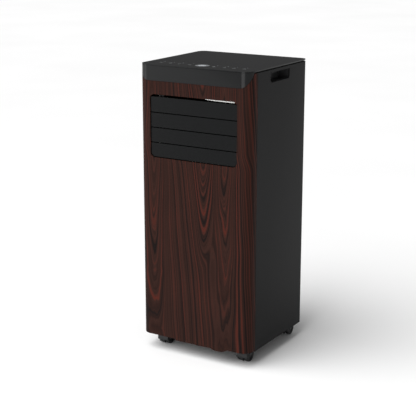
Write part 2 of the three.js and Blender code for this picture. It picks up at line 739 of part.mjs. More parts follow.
function suctionPipe() {
  return pipe([
    [112, 22, 232], [112, 22, 262], [116, 30, 300],
    [128, 50, 360], [130, 66, 420], [128, 80, 470],
  ], 4.8, 16, 6);
}

/** Liquid line from the condenser up to the evaporator, with its filter drier. */
function liquidLine() {
  const line = pipe([
    [122, 112, 90], [130, 114, 130], [134, 112, 200],
    [134, 108, 300], [134, 104, 400], [130, 104, 440],
  ], 2.5, 12, 5);
  const drier = turnedZ([[0, 292], [3, 293], [8, 300], [8, 344], [3, 351], [0, 352]], 134, 106, 10);
  return line.add(drier);
}

// ------------------------------------------------------------- electrical box
function electricalBox() {
  const shell = box(-136, -42, -124, -60, 96, 272);
  const tray = box(-133, -45, -125, -63, 99, 269);
  const feet = [-91, -56].map((x) => box(x - 8, x + 8, -100, -70, 41.6, 97));
  return unite([shell.subtract(tray), ...feet]);
}

function powerBoard() {
  const board = box(-130, -48, -72, -70.4, 104, 264);
  const relay = box(-122, -104, -90, -71.9, 216, 240);
  const sink = box(-96, -66, -96, -71.9, 120, 170);
  const filter = box(-124, -104, -92, -71.9, 130, 156);
  return unite([board, relay, sink, filter]);
}

function capacitor() {
  return turnedZ([[0, 104], [18, 104], [18, 184], [15, 187], [0, 187]], -112, -32, 16);
}

// ----------------------------------------------------------------- assembly
const FINISH = {
  panelBlack: [0x26, 0x27, 0x28, 0.55, 0],
  walnut: [0x3b, 0x27, 0x23, 0.45, 0],
  bandBlack: [0x22, 0x23, 0x24, 0.3, 0],
  deckBlack: [0x2c, 0x2c, 0x2d, 0.5, 0],
  lens: [0x9a, 0x9d, 0xa0, 0.2, 0],
  wheelBlack: [0x1b, 0x1b, 0x1c, 0.6, 0],
  steel: [0xa8, 0xaa, 0xac, 0.4, 1],
  enamel: [0x1c, 0x1c, 0x1d, 0.45, 0.2],
  copper: [0xb8, 0x73, 0x4a, 0.35, 1],
  aluminium: [0xc4, 0xc8, 0xcc, 0.45, 1],
  foam: [0xec, 0xec, 0xea, 0.85, 0],
  whitePlastic: [0xd8, 0xd8, 0xd4, 0.6, 0],
  board: [0x1f, 0x4a, 0x33, 0.5, 0],
  mesh: [0x30, 0x31, 0x33, 0.7, 0],
};

const portableAirConditioner = new THREE.Group();

function addPiece(name, shape, finish) {
  const [red, green, blue, roughness, metalness] = finish;
  const color = new THREE.Color().setRGB(red / 255, green / 255, blue / 255, THREE.SRGBColorSpace);
  const material = new THREE.MeshStandardMaterial({ color, roughness, metalness });
  const piece = new THREE.Mesh(geometryOf(shape), material);
  piece.name = name;
  portableAirConditioner.add(piece);
}

addPiece('front_panel', frontPanel(), FINISH.walnut);
addPiece('front_band', frontBand(), FINISH.bandBlack);
addPiece('top_deck', topDeck(), FINISH.deckBlack);
addPiece('control_overlay', controlOverlay(), FINISH.deckBlack);
addPiece('display_lens', displayLens(), FINISH.lens);
addPiece('control_board', controlBoard(), FINISH.board);
addPiece('right_side_panel', rightSidePanel(), FINISH.panelBlack);
addPiece('left_side_panel', mirrorX(rightSidePanel()), FINISH.panelBlack);
addPiece('right_handle_pocket', rightHandlePocket(), FINISH.panelBlack);
addPiece('left_handle_pocket', mirrorX(rightHandlePocket()), FINISH.panelBlack);
addPiece('rear_panel', rearPanel(), FINISH.panelBlack);
addPiece('base_pan', basePan(), FINISH.panelBlack);

addPiece('louvre_frame', louvreFrame(), FINISH.panelBlack);
for (let i = 0; i < BLADE_COUNT; i += 1) {
  addPiece(`louvre_blade_${i + 1}`, louvreBlade(i), FINISH.panelBlack);
}
addPiece('louvre_link', louvreLink(), FINISH.panelBlack);
addPiece('louvre_motor', louvreMotor(), FINISH.whitePlastic);

['front', 'rear'].forEach((end, row) => {
  [['left', -CASTER_X], ['right', CASTER_X]].forEach(([side, x]) => {
    const name = `caster_${end}_${side}`;
    addPiece(`${name}_housing`, casterHousing(x, CASTER_SWIVEL_Y[row]), FINISH.wheelBlack);
    addPiece(`${name}_wheels`, casterWheels(x, CASTER_SWIVEL_Y[row]), FINISH.wheelBlack);
  });
});

addPiece('upper_filter_frame', filterFrame(UPPER_INTAKE), FINISH.panelBlack);
addPiece('upper_filter_mesh', filterMesh(UPPER_INTAKE), FINISH.mesh);
addPiece('lower_filter_frame', filterFrame(LOWER_INTAKE), FINISH.panelBlack);
addPiece('lower_filter_mesh', filterMesh(LOWER_INTAKE), FINISH.mesh);
addPiece('exhaust_collar', exhaustCollar(), FINISH.panelBlack);
addPiece('upper_drain_plug', drainPlug(UPPER_DRAIN), FINISH.wheelBlack);
addPiece('lower_drain_plug', drainPlug(LOWER_DRAIN), FINISH.wheelBlack);
addPiece('cord_gland', cordGland(), FINISH.wheelBlack);
addPiece('lower_cord_hook', cordHook(HOOK_Z[0], -1), FINISH.panelBlack);
addPiece('upper_cord_hook', cordHook(HOOK_Z[1], 1), FINISH.panelBlack);

addPiece('discharge_duct', dischargeDuct(), FINISH.foam);
addPiece('upper_fan_scroll', fanScroll(UPPER_FAN, 499.5, 66), FINISH.whitePlastic);
addPiece('upper_fan_wheel', fanWheel(UPPER_FAN, 14, -84), FINISH.panelBlack);
addPiece('upper_fan_motor', fanMotor(UPPER_FAN, -98, -52, 38), FINISH.steel);
addPiece('evaporator_coil', finCoil(108, 84, 108, 426, 644, 5), FINISH.aluminium);
addPiece('drain_pan', drainPan(), FINISH.whitePlastic);
addPiece('partition_plate', partitionPlate(), FINISH.whitePlastic);

addPiece('lower_fan_scroll', fanScroll(LOWER_FAN, 255.5, 56), FINISH.whitePlastic);
addPiece('lower_fan_wheel', fanWheel(LOWER_FAN, 12, 2), FINISH.panelBlack);
addPiece('lower_fan_motor', fanMotor(LOWER_FAN, -18, 26, 36), FINISH.steel);
addPiece('exhaust_elbow', exhaustElbow(), FINISH.whitePlastic);
addPiece('condenser_coil', finCoil(108, 84, 108, 74, 238, 4), FINISH.aluminium);
addPiece('compressor', compressor(), FINISH.enamel);
addPiece('accumulator', accumulator(), FINISH.enamel);
addPiece('discharge_pipe', dischargePipe(), FINISH.copper);
addPiece('suction_pipe', suctionPipe(), FINISH.copper);
addPiece('liquid_line', liquidLine(), FINISH.copper);
addPiece('electrical_box', electricalBox(), FINISH.steel);
addPiece('power_board', powerBoard(), FINISH.board);
addPiece('capacitor', capacitor(), FINISH.aluminium);

export default portableAirConditioner;
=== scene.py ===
"""Looks of a slim portable air conditioner: walnut-film front, black casing, louvre and casters."""

import math

import bmesh
import bpy
from bpy.props import FloatProperty, FloatVectorProperty, PointerProperty
from mathutils import Matrix, Vector


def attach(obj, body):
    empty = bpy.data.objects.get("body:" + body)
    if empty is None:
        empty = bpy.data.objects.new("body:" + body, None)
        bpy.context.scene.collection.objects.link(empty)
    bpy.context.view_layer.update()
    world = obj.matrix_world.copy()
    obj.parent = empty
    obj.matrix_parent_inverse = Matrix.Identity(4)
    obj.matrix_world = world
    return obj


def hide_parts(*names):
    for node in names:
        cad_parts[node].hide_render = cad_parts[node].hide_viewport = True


bl_info = {
    "name": "Portable Air Conditioner",
    "version": (1, 0, 0),
    "blender": (4, 5, 0),
    "location": "3D View > Sidebar > Air Conditioner",
    "description": "Builds the panels, louvre, casters and finishes of a portable air conditioner",
    "category": "Object",
}

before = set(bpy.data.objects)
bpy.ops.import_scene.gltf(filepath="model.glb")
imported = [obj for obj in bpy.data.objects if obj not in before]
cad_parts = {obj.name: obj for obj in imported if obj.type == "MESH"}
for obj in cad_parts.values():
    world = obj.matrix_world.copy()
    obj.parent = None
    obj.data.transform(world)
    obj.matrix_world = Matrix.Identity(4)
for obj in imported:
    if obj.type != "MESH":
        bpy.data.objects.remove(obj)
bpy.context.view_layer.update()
MM = 0.001

# Casing, in millimetres: X to the right of the front, Y to the back, Z up from the floor
HALF_W = 149.0
HALF_D = 140.5
FRONT_R = 25.0
REAR_R = 17.5
PANEL_TOP = 694.5
SIDE_FOOT = 36.5
RETURN_Y = -105.7
FOLD_X = 122.0  # where the side panels turn inwards beside the rear panel
FOLD_DEPTH = 12.0
GAP = 0.4
FRONT_FLAT = HALF_W - FRONT_R
FRONT_ARC = FRONT_R * math.pi / 2
SIDE_FLAT = 2 * HALF_D - FRONT_R - REAR_R
REAR_ARC = REAR_R * math.pi / 2
REAR_FLAT = HALF_W - REAR_R - FOLD_X
SIDE_START = FRONT_FLAT + FRONT_ARC  # unrolled distance at which the side's flat begins
REAR_START = SIDE_START + SIDE_FLAT
FOLD_LINE = REAR_START + REAR_ARC + REAR_FLAT

# Dark band over the walnut front
BAND_FOOT = 662.4
BAND_TOP = 697.3
BAND_FLAT = 122.0
BAND_ARC_X = 27.0
BAND_ARC_Z = 36.0

# Louvre
OPENING = {"half": 116.4, "foot": 482.5, "top": 631.5, "radius": 11.0}
PIVOT_Y = -132.0
TOP_PIVOT_Z = 606.5
BLADE_PITCH = 35.4
BLADE_FRONT = -138.4
BLADE_THICK = 2.5
BLADE_HALF = 115.2
CRANK_Y = 17.8
CRANK_Z = -11.1

# Rear panel
REAR_Y = 129.5
REAR_HALF = 121.6
INTAKES = {"upper": (430.0, 640.0), "lower": (75.0, 235.0)}
PORT_Z = 312.0
DRAINS = {"upper": (88.0, 408.0), "lower": (-84.0, 53.0)}
CORD_HOLE = (-104.0, 262.0)
HOOKS = {"lower": (300.0, -1), "upper": (372.0, 1)}
HOOK_X = 104.0

# Touch controls
DECK_TOP = 700.0
DISPLAY_Y = -98.0
DISPLAY_R = 17.0
ICON_Y = -100.4
ICON_X = (32.4, 60.3, 84.8, 111.0)

# Casters
WHEEL_R = 16.5
WHEEL_SPREAD = 9.5
TRAIL = 9.0
CASTER_X = 112.0
CASTER_Y = {"front": -94.0, "rear": 114.0}


def linear(code, alpha=1.0):
    """An sRGB hex colour as linear RGBA."""
    parts = [int(code[i : i + 2], 16) / 255 for i in (0, 2, 4)]
    return [p / 12.92 if p <= 0.04045 else ((p + 0.055) / 1.055) ** 2.4 for p in parts] + [alpha]


# ---------------------------------------------------------------- what a user may change


class CasingSettings(bpy.types.PropertyGroup):
    """Wall and edge sizes of the casing."""

    wall: FloatProperty(name="Panel wall", description="Thickness of the moulded panels",
                        default=2.5 * MM, min=1 * MM, max=4 * MM, unit="LENGTH")
    edge: FloatProperty(name="Panel edge", description="Rounding of the panels' cut edges",
                        default=0.5 * MM, min=0.1 * MM, max=1.2 * MM, unit="LENGTH")
    net_pitch: FloatProperty(name="Filter net pitch", description="Distance between the net's threads",
                             default=3.0 * MM, min=1.5 * MM, max=8 * MM, unit="LENGTH")
    icon_line: FloatProperty(name="Icon line", description="Width of the printed symbols' lines",
                             default=1.0 * MM, min=0.4 * MM, max=1.5 * MM, unit="LENGTH")


class FinishSettings(bpy.types.PropertyGroup):
    """Colours of the visible finishes."""

    walnut_dark: FloatVectorProperty(name="Walnut dark grain", description="Late-wood lines of the film",
                                     subtype="COLOR", size=4, default=linear("191312"), min=0, max=1)
    walnut_mid: FloatVectorProperty(name="Walnut ground", description="Ground colour of the film",
                                    subtype="COLOR", size=4, default=linear("2A1A16"), min=0, max=1)
    walnut_red: FloatVectorProperty(name="Walnut red grain", description="Lightest, reddish lines",
                                    subtype="COLOR", size=4, default=linear("48211A"), min=0, max=1)
    casing: FloatVectorProperty(name="Casing black", description="Side and rear panels",
                                subtype="COLOR", size=4, default=linear("050506"), min=0, max=1)
    band: FloatVectorProperty(name="Band black", description="Glossy band over the front",
                              subtype="COLOR", size=4, default=linear("08090A"), min=0, max=1)
    deck: FloatVectorProperty(name="Deck black", description="Top deck",
                              subtype="COLOR", size=4, default=linear("0E0E0F"), min=0, max=1)
    symbols: FloatVectorProperty(name="Symbol grey", description="Printed touch symbols",
                                 subtype="COLOR", size=4, default=linear("B9BCBE"), min=0, max=1)


def sizes():
    return bpy.context.scene.air_conditioner_sizes


def colours():
    return bpy.context.scene.air_conditioner_colours


# ------------------------------------------------------------------------- materials


def node(tree, kind, inputs=None, **settings):
    """Adds a node with its settings. A value that is a socket is linked, any other is set."""
    made = tree.nodes.new(kind)
    for name, value in settings.items():
        setattr(made, name, value)
    for key, value in (inputs or {}).items():
        if isinstance(value, bpy.types.NodeSocket):
            tree.links.new(value, made.inputs[key])
        else:
            made.inputs[key].default_value = value
    return made


def ramp(tree, factor, stops):
    """A colour ramp through (position, colour) stops."""
    made = node(tree, "ShaderNodeValToRGB", {"Fac": factor})
    elements = made.color_ramp.elements
    elements[0].position, elements[0].color = stops[0]
    elements[1].position, elements[1].color = stops[-1]
    for position, colour in stops[1:-1]:
        elements.new(position).color = colour
    return made.outputs["Color"]


def new_material(name):
    material = bpy.data.materials.new(name)
    material.use_nodes = True
    tree = material.node_tree
    surface = tree.nodes["Principled BSDF"]
    return material, tree, surface


def object_noise(tree, size_mm, detail=2.0, stretch=(1, 1, 1)):
    """Noise whose blotches measure size_mm, in the piece's own coordinates."""
    place = node(tree, "ShaderNodeTexCoord").outputs["Object"]
    scaled = node(tree, "ShaderNodeMapping", {"Vector": place, "Scale": stretch})
    return node(tree, "ShaderNodeTexNoise",
                {"Vector": scaled.outputs["Vector"], "Scale": 1 / (size_mm * MM), "Detail": detail})


def bump(tree, surface, height, depth_mm):
    """Raises the surface's normal by a height pattern of the given depth."""
    made = node(tree, "ShaderNodeBump", {"Height": height, "Distance": depth_mm * MM, "Strength": 0.6})
    tree.links.new(made.outputs["Normal"], surface.inputs["Normal"])


def tint(colour, factor):
    return [c * factor for c in colour[:3]] + [1.0]


def moulded(name, colour, roughness, grain_mm, depth_mm, sheen=0.5, spread=0.08):
    """Moulded plastic with an etched tool texture: grain, faint mottling and uneven gloss."""
    material, tree, surface = new_material(name)
    mottle = object_noise(tree, 35)
    shades = [(0.3, tint(colour, 1 - spread)), (0.7, tint(colour, 1 + spread))]
    tree.links.new(ramp(tree, mottle.outputs["Fac"], shades), surface.inputs["Base Color"])
    grain = object_noise(tree, grain_mm, 3.0)
    gloss = node(tree, "ShaderNodeMapRange",
                 {"Value": grain.outputs["Fac"], "To Min": roughness - 0.06, "To Max": roughness + 0.06})
    tree.links.new(gloss.outputs["Result"], surface.inputs["Roughness"])
    surface.inputs["Specular IOR Level"].default_value = sheen
    bump(tree, surface, grain.outputs["Fac"], depth_mm)
    return material


GRAIN_PITCH = 13.0  # millimetres between the film's straight dark lines


class Grain:
    """Arithmetic on the film's own coordinates, in millimetres across and up the panel."""

    def __init__(self, tree):
        self.tree = tree
        place = node(tree, "ShaderNodeUVMap", uv_map="panel").outputs["UV"]
        scaled = node(tree, "ShaderNodeMapping", {"Vector": place, "Scale": (1000, 1000, 1)})
        self.flat = scaled.outputs["Vector"]
        split = node(tree, "ShaderNodeSeparateXYZ", {"Vector": self.flat})
        self.across = split.outputs["X"]
        self.up = split.outputs["Y"]

    def calc(self, operation, *values):
        made = node(self.tree, "ShaderNodeMath", dict(enumerate(values)), operation=operation)
        return made.outputs["Value"]

    def wave(self, across_mm, up_mm, reach, seed, detail=1.5):
        """Slow noise of the given blotch size, centred on zero, scaled to reach."""
        place = node(self.tree, "ShaderNodeMapping",
                     {"Vector": self.flat, "Scale": (1 / across_mm, 1 / up_mm, 1),
                      "Location": (seed, seed * 0.7, seed * 1.3)})
        made = node(self.tree, "ShaderNodeTexNoise",
                    {"Vector": place.outputs["Vector"], "Scale": 1.0, "Detail": detail})
        return self.calc("MULTIPLY", self.calc("SUBTRACT", made.outputs["Fac"], 0.5), 2 * reach)

    def rise(self, value, low, high):
        """0 below low, 1 above high and smooth between."""
        made = node(self.tree, "ShaderNodeMapRange",
                    {"Value": value, "From Min": low, "From Max": high},
                    interpolation_type="SMOOTHSTEP")
        return made.outputs["Result"]

    def window(self, value, low, high, soft):
        up = self.rise(value, low - soft, low + soft)
        down = self.rise(value, high - soft, high + soft)
        return self.calc("SUBTRACT", up, down)

    def bands(self, phase, seed):
        """Irregular light and dark lines that follow the phase's contours."""
        broad = node(self.tree, "ShaderNodeTexNoise",
                     {"W": self.calc("ADD", phase, seed), "Scale": 1.35, "Detail": 0.9},
                     noise_dimensions="1D")
        fine = node(self.tree, "ShaderNodeTexNoise",
                    {"W": self.calc("ADD", phase, seed + 40), "Scale": 4.2, "Detail": 1.0},
                    noise_dimensions="1D")
        lines = self.calc("MULTIPLY", self.calc("SUBTRACT", fine.outputs["Fac"], 0.5), 0.6)
        return self.calc("ADD", broad.outputs["Fac"], lines)

    def total(self, first, *rest):
        for value in rest:
            first = self.calc("ADD", first, value)
        return first

    def climb(self, up, low, high, lines):
        """Counts lines steadily from 0 at low to the given number at high."""
        made = node(self.tree, "ShaderNodeMapRange",
                    {"Value": up, "From Min": low, "From Max": high, "To Max": lines})
        return made.outputs["Result"]

    def figure(self, across, centre, reach, strength, counts):
        """Lines added inside one column, where the straight grain pauses as far as the strength says.
        Where the counted lines grow in number upwards, they close into nested arches."""
        away = self.calc("DIVIDE", self.calc("SUBTRACT", across, centre), reach)
        square = self.calc("MULTIPLY", away, away)
        hump = self.calc("EXPONENT", self.calc("MULTIPLY", square, -1.0))
        wide_hump = self.calc("EXPONENT", self.calc("MULTIPLY", square, -0.3))
        pause = self.calc("MULTIPLY", self.calc("MULTIPLY", away, wide_hump),
                          self.calc("MULTIPLY", reach, -1.0 / GRAIN_PITCH))
        return self.total(self.calc("MULTIPLY", hump, counts), self.calc("MULTIPLY", pause, strength))


def walnut_film():
    """Printed walnut film, heat-laminated on the front: straight red and dark grain with arches."""
    material, tree, surface = new_material("walnut_film")
    grain = Grain(tree)
    sway = grain.wave(60, 200, 6, 3.1)
    ripple = grain.wave(22, 110, 1.6, 8.4)
    across = grain.total(grain.across, sway, ripple)
    up = grain.total(grain.up, grain.wave(30, 120, 12, 5.7))
    jagged_up = grain.total(grain.up, grain.wave(11, 80, 26, 5.7, 2.5))
    jagged_left = grain.total(grain.up, grain.wave(14, 60, 12, 7.7, 2.0))
    lean = grain.calc("MULTIPLY", grain.up, 0.11)
    straight = grain.calc("DIVIDE", grain.total(across, lean), GRAIN_PITCH)
    below_louvre = grain.calc("SUBTRACT", 1.0, grain.rise(grain.up, 470, 520))
    # left column: arches that close downwards, over level wavy bands near the foot
    left = grain.figure(across, -108, 31, below_louvre,
                        grain.total(grain.climb(jagged_left, 215, 480, -5.5),
                                    grain.climb(jagged_left, 60, 205, -3.4)))
    # a funnel that narrows downwards and closes, with straight grain below it
    width = grain.total(9.0, grain.climb(grain.up, 230, 480, 20.0))
    funnel = grain.figure(across, 28, width, grain.rise(grain.up, 180, 300),
                          grain.climb(up, 235, 500, 6.0))
    # a column of jagged peaks
    peaks = grain.figure(across, 88, 29, below_louvre, grain.climb(jagged_up, 40, 470, -8.5))
    above = grain.figure(across, 2, 18, 0.0, grain.climb(up, 625, 670, 1.4))
    value = grain.bands(grain.total(straight, left, funnel, peaks, above), 2.0)
    fibre = grain.wave(1.3, 60, 0.06, 4.4, 3.0)
    cloud = grain.wave(55, 120, 0.08, 9.9)
    value = grain.calc("ADD", grain.calc("ADD", value, fibre), cloud)
    finish = colours()
    tone = ramp(tree, value, [(0.26, finish.walnut_dark), (0.45, finish.walnut_mid),
                              (0.58, tint(finish.walnut_mid, 1.35)), (0.80, finish.walnut_red)])
    tree.links.new(tone, surface.inputs["Base Color"])
    gloss = node(tree, "ShaderNodeMapRange", {"Value": value, "To Min": 0.52, "To Max": 0.42})
    tree.links.new(gloss.outputs["Result"], surface.inputs["Roughness"])
    surface.inputs["Specular IOR Level"].default_value = 0.03
    bump(tree, surface, value, 0.05)
    return material


def casing_black():
    """Spark-textured ABS of the side and rear panels. Its 0.1 mm grain is drawn at 1.2 mm to show."""
    return moulded("casing_black_abs", colours().casing, 0.45, 1.2, 0.03, sheen=0.08)


def link_painted_shade_black():
    """Black nylon of the link bar, darkened below the other blacks as painted shade: dark enough to
    vanish into the shade behind the blades.
    """
    return moulded("link_nylon_painted_shade", linear("020203"), 0.6, 1.0, 0.03, sheen=0.02)


def pocket_painted_light_grey():
    """Black ABS of the finger pockets, coloured a shade greyer than the panels: painted light that stands
    in for light on the pockets' shaded back walls.
    """
    return moulded("pocket_abs_painted_light", linear("2C2C2D"), 0.5, 1.4, 0.03, sheen=0.3)


def band_black():
    """High-gloss ABS of the band: smooth enough to mirror the room softly."""
    return moulded("band_gloss_abs", colours().band, 0.2, 6.0, 0.004, sheen=0.22, spread=0.03)


def deck_black():
    """Fine matt ABS of the deck. Its 0.1 mm grain is drawn at 1 mm to show."""
    return moulded("deck_matt_abs", colours().deck, 0.5, 1.0, 0.03, sheen=0.16)


def louvre_black():
    """Satin ABS of the louvre blades and their frame."""
    return moulded("louvre_satin_abs", linear("060708"), 0.34, 1.4, 0.02, sheen=0.13)


def wheel_black():
    """Moulded nylon of the casters: slightly uneven, dull black."""
    return moulded("caster_nylon", linear("131314"), 0.45, 1.5, 0.03)


def rubber_black():
    """Soft rubber of treads, drain plugs and the lead's gland: matt, faintly dusty."""
    return moulded("soft_rubber", linear("181819"), 0.75, 0.9, 0.04, spread=0.2)


def white_plastic():
    """Natural polypropylene of ducts and pans."""
    return moulded("white_polypropylene", linear("D3D2CB"), 0.5, 1.6, 0.03)


def symbol_ink():
    """Screen-printed light grey ink of the touch symbols."""
    return moulded("symbol_ink", colours().symbols, 0.5, 0.6, 0.01)


def white_foam():
    """Expanded polystyrene: cells about 3 mm across pressed flat against each other."""
    material, tree, surface = new_material("expanded_polystyrene")
    place = node(tree, "ShaderNodeTexCoord").outputs["Object"]
    cells = node(tree, "ShaderNodeTexVoronoi", {"Vector": place, "Scale": 1 / (3 * MM)},
                 feature="DISTANCE_TO_EDGE")
    tone = ramp(tree, cells.outputs["Distance"], [(0.0, linear("D5D5D2")), (0.12, linear("F2F2F0"))])
    tree.links.new(tone, surface.inputs["Base Color"])
    surface.inputs["Roughness"].default_value = 0.85
    bump(tree, surface, cells.outputs["Distance"], 0.2)
    return material


def display_glass():
    """Backlit round display under a smoked window: pale, brightest in the middle."""
    material, tree, surface = new_material("display_glass")
    place = node(tree, "ShaderNodeTexCoord").outputs["Object"]
    centred = node(tree, "ShaderNodeMapping",
                   {"Vector": place, "Location": (0, -DISPLAY_Y * MM, -DECK_TOP * MM)})
    away = node(tree, "ShaderNodeVectorMath", {0: centred.outputs["Vector"]}, operation="LENGTH")
    reach = node(tree, "ShaderNodeMapRange",
                 {"Value": away.outputs["Value"], "From Max": DISPLAY_R * MM})
    tone = ramp(tree, reach.outputs["Result"],
                [(0.0, linear("A0A3A6")), (0.45, linear("76797C")), (0.85, linear("505356")),
                 (1.0, linear("333537"))])
    tree.links.new(tone, surface.inputs["Base Color"])
    tree.links.new(tone, surface.inputs["Emission Color"])
    surface.inputs["Emission Strength"].default_value = 0.2
    surface.inputs["Roughness"].default_value = 0.2
    return material


def lamp_white():
    """White light-emitting diode seen through its light guide."""
    material, tree, surface = new_material("indicator_lamp")
    glow = object_noise(tree, 4)
    tone = ramp(tree, glow.outputs["Fac"], [(0.3, linear("B4B8BC")), (0.7, linear("C4C8CB"))])
    tree.links.new(tone, surface.inputs["Base Color"])
    tree.links.new(tone, surface.inputs["Emission Color"])
    surface.inputs["Emission Strength"].default_value = 0.45
    return material


def filter_net():
    """Woven nylon filter net: dark threads with a dull sheen."""
    return moulded("filter_nylon", linear("2A2B2D"), 0.6, 0.8, 0.02)


def bare_metal(name, colour, roughness, spangle_mm, stretch=(1, 1, 1)):
    """Metal with a faint pattern from its rolling, drawing or plating."""
    material, tree, surface = new_material(name)
    pattern = object_noise(tree, spangle_mm, 2.0, stretch)
    shades = [(0.35, tint(colour, 0.82)), (0.65, tint(colour, 1.05))]
    tree.links.new(ramp(tree, pattern.outputs["Fac"], shades), surface.inputs["Base Color"])
    gloss = node(tree, "ShaderNodeMapRange",
                 {"Value": pattern.outputs["Fac"], "To Min": roughness - 0.08, "To Max": roughness + 0.1})
    tree.links.new(gloss.outputs["Result"], surface.inputs["Roughness"])
    surface.inputs["Metallic"].default_value = 1.0
    return material


def motor_steel():
    """Zinc-plated sheet steel with a soft spangle."""
    return bare_metal("zinc_plated_steel", linear("A6A8AB"), 0.38, 9)


def copper_pipe():
    """Drawn copper tube with brown handling marks."""
    return bare_metal("drawn_copper", linear("B5714C"), 0.32, 14, (1, 1, 0.3))


def fin_aluminium():
    """Pressed aluminium fins at a 1.8 mm pitch, seen edge on as fine upright lines: pale fin edges with
    painted shade in the gaps between them.
    """
    material, tree, surface = new_material("aluminium_fins")
    place = node(tree, "ShaderNodeTexCoord").outputs["Object"]
    fins = node(tree, "ShaderNodeTexWave",
                {"Vector": place, "Scale": 0.314 / (1.8 * MM), "Distortion": 0.4, "Detail": 1.0},
                bands_direction="X")
    # the dark stripes are painted shade between the fins
    tone = ramp(tree, fins.outputs["Fac"], [(0.2, linear("3E4245")), (0.75, linear("C9CDD0"))])
    tree.links.new(tone, surface.inputs["Base Color"])
    surface.inputs["Metallic"].default_value = 1.0
    surface.inputs["Roughness"].default_value = 0.45
    bump(tree, surface, fins.outputs["Fac"], 0.3)
    return material


def compressor_enamel():
    """Thick black baked enamel over a drawn steel shell, with a slight orange peel."""
    return moulded("baked_enamel", linear("1A1A1B"), 0.28, 3.0, 0.05)


def circuit_board():
    """Glass-fibre board under green solder mask with paler copper lands."""
    material, tree, surface = new_material("green_circuit_board")
    place = node(tree, "ShaderNodeTexCoord").outputs["Object"]
    tracks = node(tree, "ShaderNodeTexVoronoi", {"Vector": place, "Scale": 1 / (6 * MM)},
                  distance="MANHATTAN")
    tone = ramp(tree, tracks.outputs["Distance"],
                [(0.05, linear("9A8450")), (0.12, linear("1E4D35")), (0.8, linear("17402B"))])
    tree.links.new(tone, surface.inputs["Base Color"])
    surface.inputs["Roughness"].default_value = 0.35
    return material


def steel_screw():
    """Black-oxide pan-head screw."""
    return bare_metal("black_oxide_screw", linear("3A3B3D"), 0.4, 3)


_made = {}


def material_of(make):
    """The one material that a function makes, built the first time it is asked for."""
    if make not in _made:
        _made[make] = make()
    return _made[make]


# ------------------------------------------------------------------------ mesh tools


def upright(y):
    """Places a flat shape so that its depth runs back from the plane y."""
    return Matrix(((1, 0, 0, 0), (0, 0, 1, y * MM), (0, 1, 0, 0), (0, 0, 0, 1)))


def sideways(x):
    """Places a flat shape so that its depth runs along X from the plane x."""
    return Matrix(((0, 0, 1, x * MM), (1, 0, 0, 0), (0, 1, 0, 0), (0, 0, 0, 1)))


def level(z):
    return Matrix.Translation((0, 0, z * MM))


def arc(u, v, radius_u, radius_v, start, end, steps):
    """Points along an elliptical arc, angles in degrees."""
    angles = [math.radians(start + (end - start) * i / steps) for i in range(steps + 1)]
    return [(u + radius_u * math.cos(a), v + radius_v * math.sin(a)) for a in angles]


def rounded(u0, u1, v0, v1, low, high=None, steps=6):
    """A rectangle with one radius on its two low corners and one on its two high corners."""
    high = low if high is None else high
    low, high = max(low, 0.01), max(high, 0.01)
    return (arc(u1 - low, v0 + low, low, low, -90, 0, steps)
            + arc(u1 - high, v1 - high, high, high, 0, 90, steps)
            + arc(u0 + high, v1 - high, high, high, 90, 180, steps)
            + arc(u0 + low, v0 + low, low, low, 180, 270, steps))


def circle(u, v, radius, steps=40):
    return arc(u, v, radius, radius, 0, 360, steps)[:-1]


def flat_sheet(bm, loops):
    """Fills an outline, less the holes that follow it, in the XY plane with its face up."""
    edges = []
    for loop in loops:
        corners = [bm.verts.new((u * MM, v * MM, 0)) for u, v in loop]
        edges += [bm.edges.new((corners[i - 1], corners[i])) for i in range(len(corners))]
    filled = bmesh.ops.triangle_fill(bm, edges=edges, use_beauty=True, normal=(0, 0, 1))
    faces = [g for g in filled["geom"] if isinstance(g, bmesh.types.BMFace)]
    bmesh.ops.reverse_faces(bm, faces=[f for f in faces if f.normal.z < 0])
    return faces


def plate(bm, loops, depth, place):
    """A closed plate: the filled outline extruded by depth and put in its place."""
    faces = flat_sheet(bm, loops)
    grown = bmesh.ops.extrude_face_region(bm, geom=faces, use_keep_orig=True)["geom"]
    lifted = [g for g in grown if isinstance(g, bmesh.types.BMVert)]
    bmesh.ops.translate(bm, verts=lifted, vec=(0, 0, depth * MM))
    verts = {v for f in faces for v in f.verts} | set(lifted)
    bmesh.ops.transform(bm, matrix=place, verts=list(verts))
    around = {f for v in verts for f in v.link_faces}
    bmesh.ops.recalc_face_normals(bm, faces=list(around))
    return list(verts)


def block(bm, low, high):
    """A box between two corners, for one part of a larger piece."""
    size = [(b - a) * MM for a, b in zip(low, high)]
    middle = [(a + b) / 2 * MM for a, b in zip(low, high)]
    matrix = Matrix.Translation(middle) @ Matrix.Diagonal((*size, 1))
    return bmesh.ops.create_cube(bm, size=1, matrix=matrix)["verts"]


def spun(bm, profile, centre, axis, steps=48):
    """Turns a closed profile of (radius, height) points about an axis through centre."""
    across = Vector((0, 1, 0)) if axis.x else Vector((1, 0, 0))
    middle = Vector(centre) * MM
    points = [middle + (across * r + axis * h) * MM for r, h in profile]
    ring = [bm.verts.new(p) for p in points]
    edges = [bm.edges.new((ring[i - 1], ring[i])) for i in range(len(ring))]
    made = bmesh.ops.spin(bm, geom=ring + edges, cent=middle, axis=axis, angle=2 * math.pi,
                          steps=steps, use_merge=True, use_duplicate=False)
    verts = {v for v in bm.verts if v.is_valid and (v in ring)}
    verts |= {g for g in made["geom_last"] if isinstance(g, bmesh.types.BMVert)}
    return verts


def close_up(bm):
    """Merges doubled points, such as a spin's poles, and turns every face outwards."""
    bmesh.ops.remove_doubles(bm, verts=bm.verts, dist=0.01 * MM)
    bmesh.ops.recalc_face_normals(bm, faces=bm.faces)


